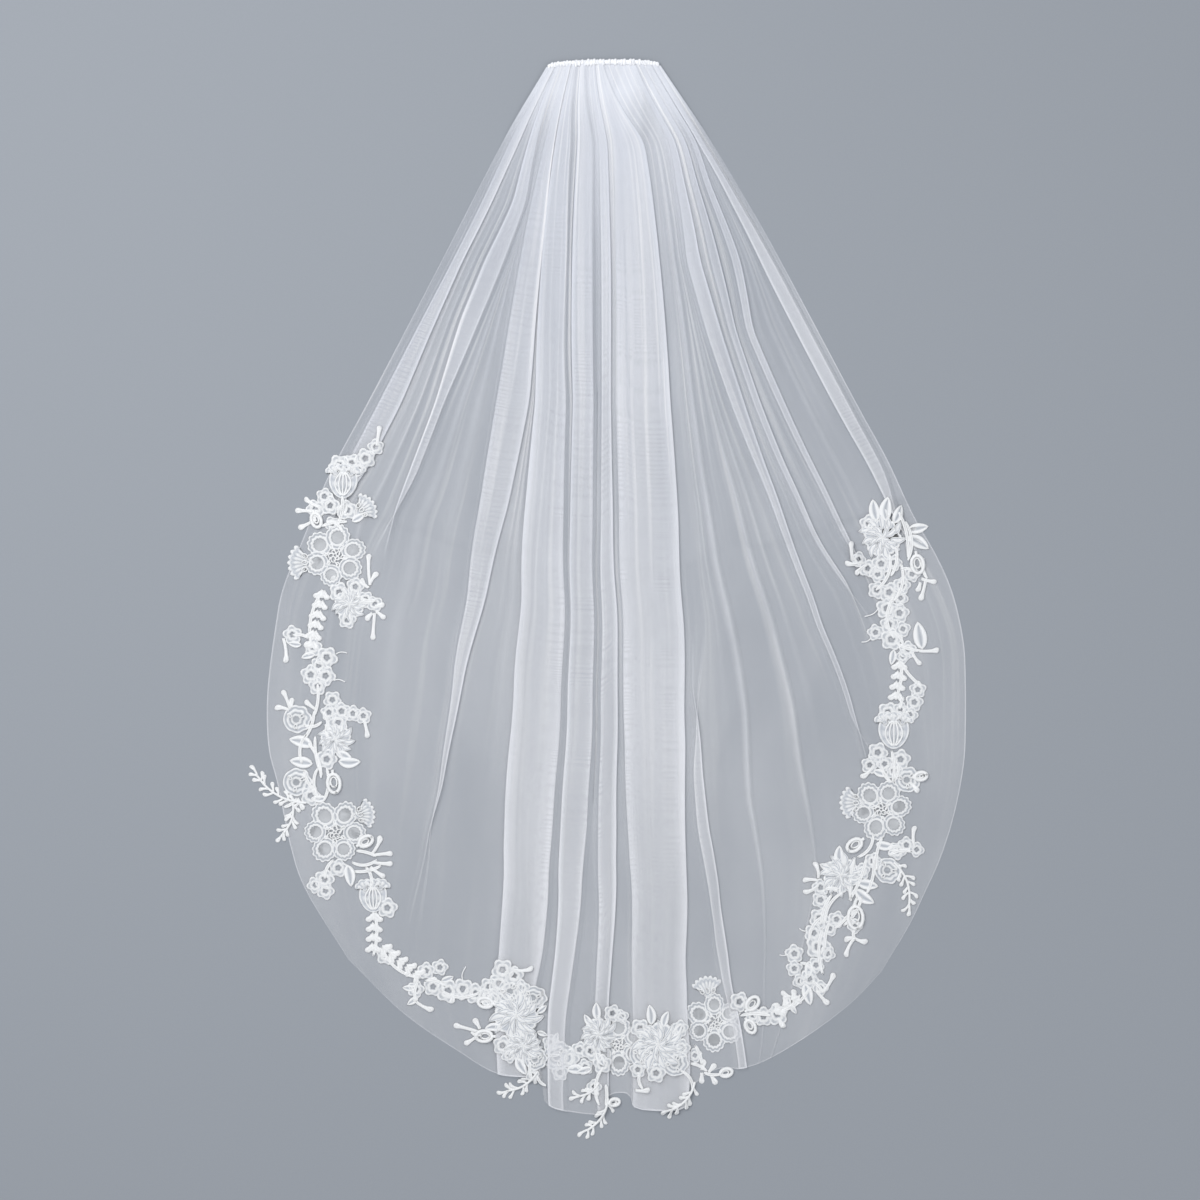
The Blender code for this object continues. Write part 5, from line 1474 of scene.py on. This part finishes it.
# %% Tables of the edging
LACE_ROWS = {
    "lace_left": """
bulb -202 132 82 18 | floret -203 131 20 8 | floret -212 121 50 9 | floret -224 117 10 9
floret -235 115 30 10 | floret -218 112 0 7 | bud -232 86 88 29 | floret -248 88 0 8 | bulb -250 78 150 18
bulb -252 75 178 22 | bulb -255 68 207 18 | loop -258 76 -72 17 | floret -256 77 20 9 | floret -243 80 10 9
floret -228 76 30 9 | leaf -236 70 60 16 | stem -246 66 -30 16 | stem -232 88 -100 26 | shell -214 77 35 12
leaf -224 66 30 14 | stem -250 62 10 22 | floret -241 64 15 7 | flower -239 36 20 28 | shell -267 30 180 14
run -249 6 -102 50 | floret -276 -33 30 9 | bulb -284 -36 -85 22 | stem -262 -36 170 14
leaf -268 -42 172 12 | floret -258 -44 0 8 | floret -246 -53 0 10 | leaf -256 -50 195 13
floret -260 -68 20 9 | floret -247 -69 50 9 | floret -253 -60 10 8 | tail -238 -50 8 10
tail -240 -73 -5 10 | floret -254 -78 30 8 | stem -254 -76 -96 28 | stem -257 -100 -112 28
floret -241 -90 0 8 | floret -244 -101 15 8 | floret -233 -100 25 9 | floret -223 -102 10 8
floret -214 -104 40 8 | bulb -214 -106 -78 18 | bulb -256 -98 140 12 | rosette -273 -107 20 13
bulb -278 -98 112 18 | bulb -279 -99 172 13 | bulb -277 -97 85 9 | stem -266 -112 10 16
floret -236 -110 20 9 | stem -250 -100 -80 22 | stem -244 -108 -92 16 | leaf -258 -130 165 22
leaf -258 -146 172 21 | leaf -236 -144 0 20 | leaf -238 -136 -24 16 | rose -238 -124 10 16
floret -246 -142 20 9 | stem -256 -122 -80 34 | stem -262 -128 -70 32 | stem -264 -120 -98 26
rosette -273 -162 0 13 | stem -266 -152 -60 22 | stem -254 -150 -88 26 | stem -246 -150 -95 28
loop -241 -151 -84 22 | floret -260 -174 0 9 | leaf -246 -176 180 14 | sprig -264 -180 151 56
sprig -276 -178 -105 36 | stem -272 -176 215 14 | bulb -272 -176 -60 12 | flower -239 -206 0 29
shell -215 -190 10 12 | bulb -206 -224 65 17 | bulb -206 -226 5 18 | bulb -206 -232 -4 18
bulb -208 -236 -35 16 | stem -220 -222 -15 18 | stem -224 -232 5 22 | loop -220 -218 28 17
stem -222 -240 12 24 | floret -248 -247 10 9 | floret -256 -252 30 8 | floret -247 -257 0 8
stem -240 -230 -115 18 | floret -236 -237 20 9 | leaf -228 -234 -80 20 | bud -205 -276 92 28
floret -193 -272 0 9 | stem -212 -236 -75 18 | run -204 -276 -92 38 | floret -194 -313 0 9
run -198 -306 -38 44 | floret -159 -327 30 8 | floret -147 -324 0 8 | leaf -168 -342 178 12
leaf -166 -350 215 12 | bulb -170 -352 -28 20 | floret -168 -343 0 8 | stem -166 -336 -95 18
floret -153 -341 10 9 | floret -140 -345 0 11 | floret -127 -343 30 10 | floret -116 -347 20 10
leaf -146 -336 20 12 | stem -160 -336 -15 18 | stem -146 -344 -3 34 | tail -127 -336 80 13
bulb -136 -346 -100 10 | floret -106 -350 0 8 | rose -226 -6 0 16 | floret -235 4 0 9 | floret -221 9 20 8
floret -228 -20 10 8 | bulb -208 10 92 28 | bulb -208 12 55 12 | bulb -209 8 130 11 | floret -212 -2 0 8
floret -204 -6 30 7 | bulb -204 -8 12 9 | bulb -203 -12 -40 11 | bulb -204 -14 -94 24 | bulb -206 -14 -130 9
stem -220 2 -15 18
""",
    "lace_fold_a": """
rose -80 -366 0 23 | rose -74 -392 20 17 | rosette -86 -345 10 12 | rosette -66 -350 0 11
floret -95 -338 0 10 | floret -100 -350 20 9 | loop -98 -356 172 17 | loop -98 -384 180 19
floret -104 -341 0 9 | floret -92 -326 0 10 | floret -82 -331 10 9 | bulb -84 -325 4 19
floret -76 -342 20 8 | leaf -92 -376 185 16 | floret -92 -392 0 9 | floret -86 -400 0 8
leaf -80 -402 -60 18 | rosette -64 -404 0 10 | leaf -62 -364 40 11 | leaf -62 -380 -20 10
stem -110 -382 172 10 | bulb -114 -380 165 22 | bulb -114 -384 212 14 | bulb -112 -378 120 11
stem -68 -406 -85 16 | sprig -62 -415 -146 37 | floret -66 -418 10 6 | stem -62 -418 -50 12
""",
    "lace_fold_b": """
rosette -45 -402 0 13 | floret -50 -390 0 8 | floret -34 -404 20 9 | floret -25 -396 0 8
leaf -36 -413 -6 18 | floret -42 -416 0 8 | floret -20 -411 20 8 | leaf -48 -392 70 12 | stem -54 -400 0 12
""",
    "lace_fold_c": """
rose -8 -382 0 17 | leaf -9 -370 95 16 | leaf -14 -376 122 13 | floret 4 -364 0 8 | floret 12 -367 20 7
floret -15 -397 0 9 | floret -5 -408 20 9 | leaf -14 -412 196 14 | stem -5 -412 -95 32 | floret -12 -428 0 7
sprig -8 -424 -142 27 | stem -2 -426 -90 18 | sprig 0 -438 -122 40 | loop -1 -443 10 12
leaf -10 -398 -60 14
""",
    "lace_between_folds": """
flower 9 -392 30 26
""",
    "lace_fold_d": """
rose 44 -391 10 23 | leaf 38 -374 96 18 | leaf 48 -376 72 15 | leaf 56 -384 52 14 | floret 28 -377 0 9
floret 64 -394 0 9 | rosette 29 -400 0 12 | rosette 58 -408 0 12 | floret 42 -416 0 9 | floret 26 -413 20 8
floret 63 -377 0 8 | stem 28 -416 -80 14 | bulb 24 -431 3 13 | stem 64 -414 -60 20 | sprig 76 -424 -130 38
""",
    "lace_right_flower": """
flower 93 -372 30 26 | shell 87 -343 100 12 | stem 76 -392 -70 18 | floret 76 -401 0 7 | stem 72 -408 -25 16
loop 96 -418 15 14 | stem 84 -416 -6 14 | bulb 88 -416 50 10 | bulb 90 -418 -60 10 | bulb 82 -414 80 10
bulb 82 -416 -90 10 | leaf 106 -366 20 12
""",
    "lace_right": """
floret 115 -354 0 9 | stem 116 -366 0 26 | loop 120 -363 50 18 | loop 120 -368 -60 16 | floret 136 -367 0 9
floret 148 -365 25 10 | leaf 158 -360 95 12 | leaf 160 -356 -60 10 | bulb 160 -350 150 10
floret 127 -366 20 7 | bulb 150 -368 -60 10 | stem 148 -362 35 34 | run 146 -364 36 27 | floret 176 -334 0 9
floret 168 -336 20 7 | leaf 172 -338 -75 20 | stem 178 -336 -45 14 | bulb 182 -344 -48 17
bulb 188 -346 60 20 | floret 186 -342 0 7 | floret 163 -312 40 9 | tail 158 -312 190 8
floret 163 -325 10 8 | floret 182 -322 0 8 | stem 168 -320 -30 14 | leaf 176 -318 -95 16
floret 184 -306 15 12 | floret 192 -312 0 8 | stem 194 -284 -100 24 | stem 188 -290 -90 40
floret 180 -294 0 9 | tail 174 -292 165 7 | floret 185 -281 0 9 | floret 194 -290 10 7 | stem 176 -300 60 24
rose 204 -243 0 19 | leaf 204 -236 95 19 | leaf 196 -240 150 13 | bulb 184 -246 105 15
bulb 184 -248 180 14 | bulb 184 -252 205 15 | floret 186 -254 20 8 | floret 186 -265 0 8
stem 190 -256 0 12 | stem 216 -228 -95 38 | stem 226 -228 -112 40 | stem 232 -226 -100 34
stem 218 -262 -125 34 | leaf 218 -250 -10 19 | leaf 216 -256 -35 21 | floret 222 -240 0 8
floret 232 -231 0 8 | stem 206 -258 -120 32 | stem 196 -260 -110 28 | stem 222 -262 -122 30
loop 216 -266 -88 26 | floret 216 -288 10 7 | stem 216 -290 -88 10 | bulb 215 -298 -16 13
bulb 215 -298 200 9 | bulb 216 -298 -115 19 | floret 200 -282 0 8 | rosette 244 -239 10 12
bulb 268 -218 88 18 | floret 261 -217 20 8 | floret 253 -222 0 8 | floret 270 -221 0 7 | stem 246 -226 10 20
sprig 250 -232 -70 46 | flower 239 -186 10 27 | shell 215 -180 180 13 | stem 232 -208 -125 24
loop 224 -211 215 19 | stem 240 -210 -100 30 | leaf 234 -216 -8 17 | leaf 244 -220 10 12
floret 236 -136 0 9 | floret 229 -147 20 8 | bulb 232 -148 222 15 | floret 242 -146 30 8
floret 256 -142 0 9 | leaf 232 -152 -20 14 | stem 248 -134 -88 28 | stem 240 -148 -60 16
stem 254 -146 -105 16 | rosette 261 -160 10 12 | loop 266 -158 10 14 | bulb 264 -162 -50 12
floret 250 -152 10 8 | floret 245 -101 0 10 | floret 256 -99 20 8 | bud 250 -133 90 31 | run 256 -56 -97 32
stem 258 -60 -48 24 | floret 271 -81 0 8 | floret 268 -92 20 8 | floret 264 -103 0 8 | stem 255 -84 -90 14
floret 248 -37 0 10 | floret 234 -31 30 8 | tail 230 -36 205 9 | floret 246 -24 10 8 | floret 258 -28 0 7
stem 248 -30 -50 16 | leaf 275 -46 100 25 | bulb 272 -47 3 18 | bulb 266 -48 -55 14 | stem 252 -40 -18 22
leaf 250 -46 -100 14 | floret 258 -52 0 7 | floret 262 -46 0 8 | rose 240 52 0 20 | leaf 235 66 100 20
leaf 243 66 86 22 | leaf 250 64 68 18 | floret 228 64 20 9 | leaf 262 58 12 19 | leaf 262 53 -30 22
stem 254 74 -78 40 | stem 260 66 -86 34 | bulb 214 32 94 17 | bulb 224 30 180 17 | floret 219 33 0 7
floret 227 25 20 8 | bulb 226 28 222 13 | floret 236 20 30 8 | floret 239 29 0 9 | stem 252 44 -100 26
stem 246 38 -110 34 | floret 250 30 0 8 | stem 256 30 -100 34 | loop 269 40 -82 21 | stem 276 34 -80 18
bulb 274 16 -12 14 | bulb 278 15 -105 19 | bulb 273 13 -110 9 | floret 266 20 0 8 | stem 256 24 -10 12
floret 235 6 15 8 | floret 246 4 0 9 | floret 257 10 20 8 | floret 244 -10 0 10 | floret 255 -14 20 9
floret 256 -1 0 7 | tail 237 -9 215 15 | stem 250 0 -90 36
""",
}


def motif_rows(text):
    """Rows of motif, x, y, degrees, size from a table's text."""
    for row in text.replace("\n", "|").split("|"):
        if row.strip():
            kind, *numbers = row.split()
            yield (kind, *map(float, numbers))


UNDER_PLEATS = ("lace_fold_b", "lace_between_folds", "lace_right_flower")
UNDER_SQUASH = 0.55  # lace under a pleat is pressed this flat
FIRST_SEED = 11


def build_lace():
    """Every length of the edging, by the name of the frame's node that it stands for."""
    made = {}
    for number, (name, text) in enumerate(LACE_ROWS.items()):
        work = LaceWork(FIRST_SEED + number)
        for kind, x, y, degrees, size in motif_rows(text):
            MOTIFS[kind](work, x, y, degrees, size)
        rest, squash = (under_height, UNDER_SQUASH) if name in UNDER_PLEATS else (rest_height, 1.0)
        made[name] = lace_piece(name + "_thread", work, rest, squash)
    return made


LACE_PIECES = build_lace()

# %% [markdown]
# ## The gathered heading
# The top edge is whipped over a cord and drawn up, which leaves a narrow roll of puckers, each held by a
# stitch. The roll is a tube whose radius swells between the stitches.

# %% Heading roll
ROLL_PITCH = 2.7  # mm from stitch to stitch
ROLL_RADIUS = 1.8
PUCKER_STEPS = 8
PUCKER_SIZES, PUCKER_NUDGES = (0.7, 1.15), (-0.3, 0.6)  # ranges of their sizes, and of how far they stray
PINCHED, SWOLLEN = 0.7, 0.32  # share of its radius that the roll has at a stitch, and what it gains between
ROLL_ENDS = (0.012, 0.988)  # across of its two ends
ROLL_MIDDLE = 2.9  # height of its middle over the table
ROLL_UNDER = 2.4  # its flat underside, on the comb
FRINGE = 2.3  # how much farther the roll runs out on to the cloth than it stands up from it
ROLL_BOW = 1.0  # how far its ends stand out past the cloth, and how much more its middle does
ROLL_SIDES = 14
# The first colour is painted shade, for the low parts of the roll's creases.
ROLL_PAINTED_SHADE, ROLL_WHITE = (0.84, 0.85, 0.89), (0.97, 0.97, 0.98)
ROLL_CREASES = (1500.0, 260.0, 260.0)  # noise turns for each metre, so the creases run across the roll


def heading_roll():
    """Points and faces of the roll. Every pucker has its own size and place."""
    length = math.dist(HEADING_LEFT, HEADING_RIGHT)
    puckers = int(length / ROLL_PITCH)
    stations = puckers * PUCKER_STEPS
    chance = np.random.default_rng(5)
    sizes = chance.uniform(*PUCKER_SIZES, puckers + 1)
    nudges = chance.uniform(*PUCKER_NUDGES, puckers + 1)
    points = []
    for s in range(stations + 1):
        share = s / stations
        centre = table_place(ROLL_ENDS[0] + (ROLL_ENDS[1] - ROLL_ENDS[0]) * share, 0.0)
        bow = ROLL_BOW * (1 + math.sin(math.pi * share))
        pucker = min(int(share * puckers), puckers - 1)
        swell = abs(math.sin(math.pi * share * puckers)) ** 0.6
        radius = ROLL_RADIUS * sizes[pucker] * (PINCHED + SWOLLEN * swell)
        radius *= 1 - 0.5 * abs(2 * share - 1) ** 12
        for k in range(ROLL_SIDES):
            angle = 2 * math.pi * k / ROLL_SIDES
            out = radius * math.cos(angle)
            fringe = 1.0 if out > 0 else FRINGE
            points.append((centre[0], centre[1] + bow + nudges[pucker] * swell + out * fringe,
                           max(ROLL_MIDDLE + radius * math.sin(angle), ROLL_UNDER)))
    faces = []
    for s in range(stations):
        for k in range(ROLL_SIDES):
            a, b = s * ROLL_SIDES + k, s * ROLL_SIDES + (k + 1) % ROLL_SIDES
            faces.append((a, b, b + ROLL_SIDES, a + ROLL_SIDES))
    faces.append(tuple(reversed(range(ROLL_SIDES))))
    faces.append(tuple(stations * ROLL_SIDES + k for k in range(ROLL_SIDES)))
    return points, faces


ROLL = look_named("gathered_tulle")
roll_points, roll_faces = heading_roll()
roll = add_piece("heading_roll", roll_points, roll_faces, ROLL)
print("roll faces", len(roll_faces))


def finish_roll(look):
    """Many layers of tulle, drawn up into creases that run across the roll, with painted shade in them."""
    tree = look.node_tree
    where = tree.nodes.new("ShaderNodeTexCoord").outputs["Object"]
    fine = noise_node(tree, where, 1.0, 3.0, ROLL_CREASES)
    # Painted shade: the colour darkens where the crease noise is low, the same noise that sinks the bump.
    set_look(look, {"Roughness": 0.6, "Sheen Weight": 0.3,
                    "Alpha": range_node(tree, fine, 0.3, 0.6, 0.7, 1.0),
                    "Normal": bump_node(tree, fine, 0.6, 0.0005),
                    "Base Color": ramp_node(tree, fine, ROLL_PAINTED_SHADE, ROLL_WHITE)})


finish_roll(ROLL)

# %% [markdown]
# ## The comb
# The comb's solid already has the right shape, so it stays and only gets a surface: clear moulded plastic.

# %% Clear plastic for the comb
PLASTIC_SHADE, PLASTIC_LIGHT = (0.86, 0.88, 0.90), (0.96, 0.97, 0.98)
PLASTIC_BENDS = 1.49  # its index of refraction
CLOUDY = (0.06, 0.22)  # roughness of the clearest and the cloudiest plastic


def finish_comb(look):
    """Clear plastic, a little cloudy where it flowed in the mould."""
    tree = look.node_tree
    where = tree.nodes.new("ShaderNodeTexCoord").outputs["Object"]
    flow = noise_node(tree, where, 60.0, 2.0, (1.0, 1.0, 1.0))
    set_look(look, {"Transmission Weight": 0.85, "IOR": PLASTIC_BENDS,
                    "Roughness": range_node(tree, flow, 0.3, 0.7, *CLOUDY),
                    "Base Color": ramp_node(tree, flow, PLASTIC_SHADE, PLASTIC_LIGHT)})


COMB = look_named("clear_moulded_plastic")
finish_comb(COMB)
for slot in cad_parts["comb"].material_slots:
    slot.material = COMB
print("comb slots:", len(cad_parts["comb"].material_slots))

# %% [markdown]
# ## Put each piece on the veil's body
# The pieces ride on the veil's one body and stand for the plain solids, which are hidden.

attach(tulle, "root")
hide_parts("tulle_panel")
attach(roll, "root")
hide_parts("heading_gathers")
for node, piece in LACE_PIECES.items():
    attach(piece, "root")
    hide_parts(node)
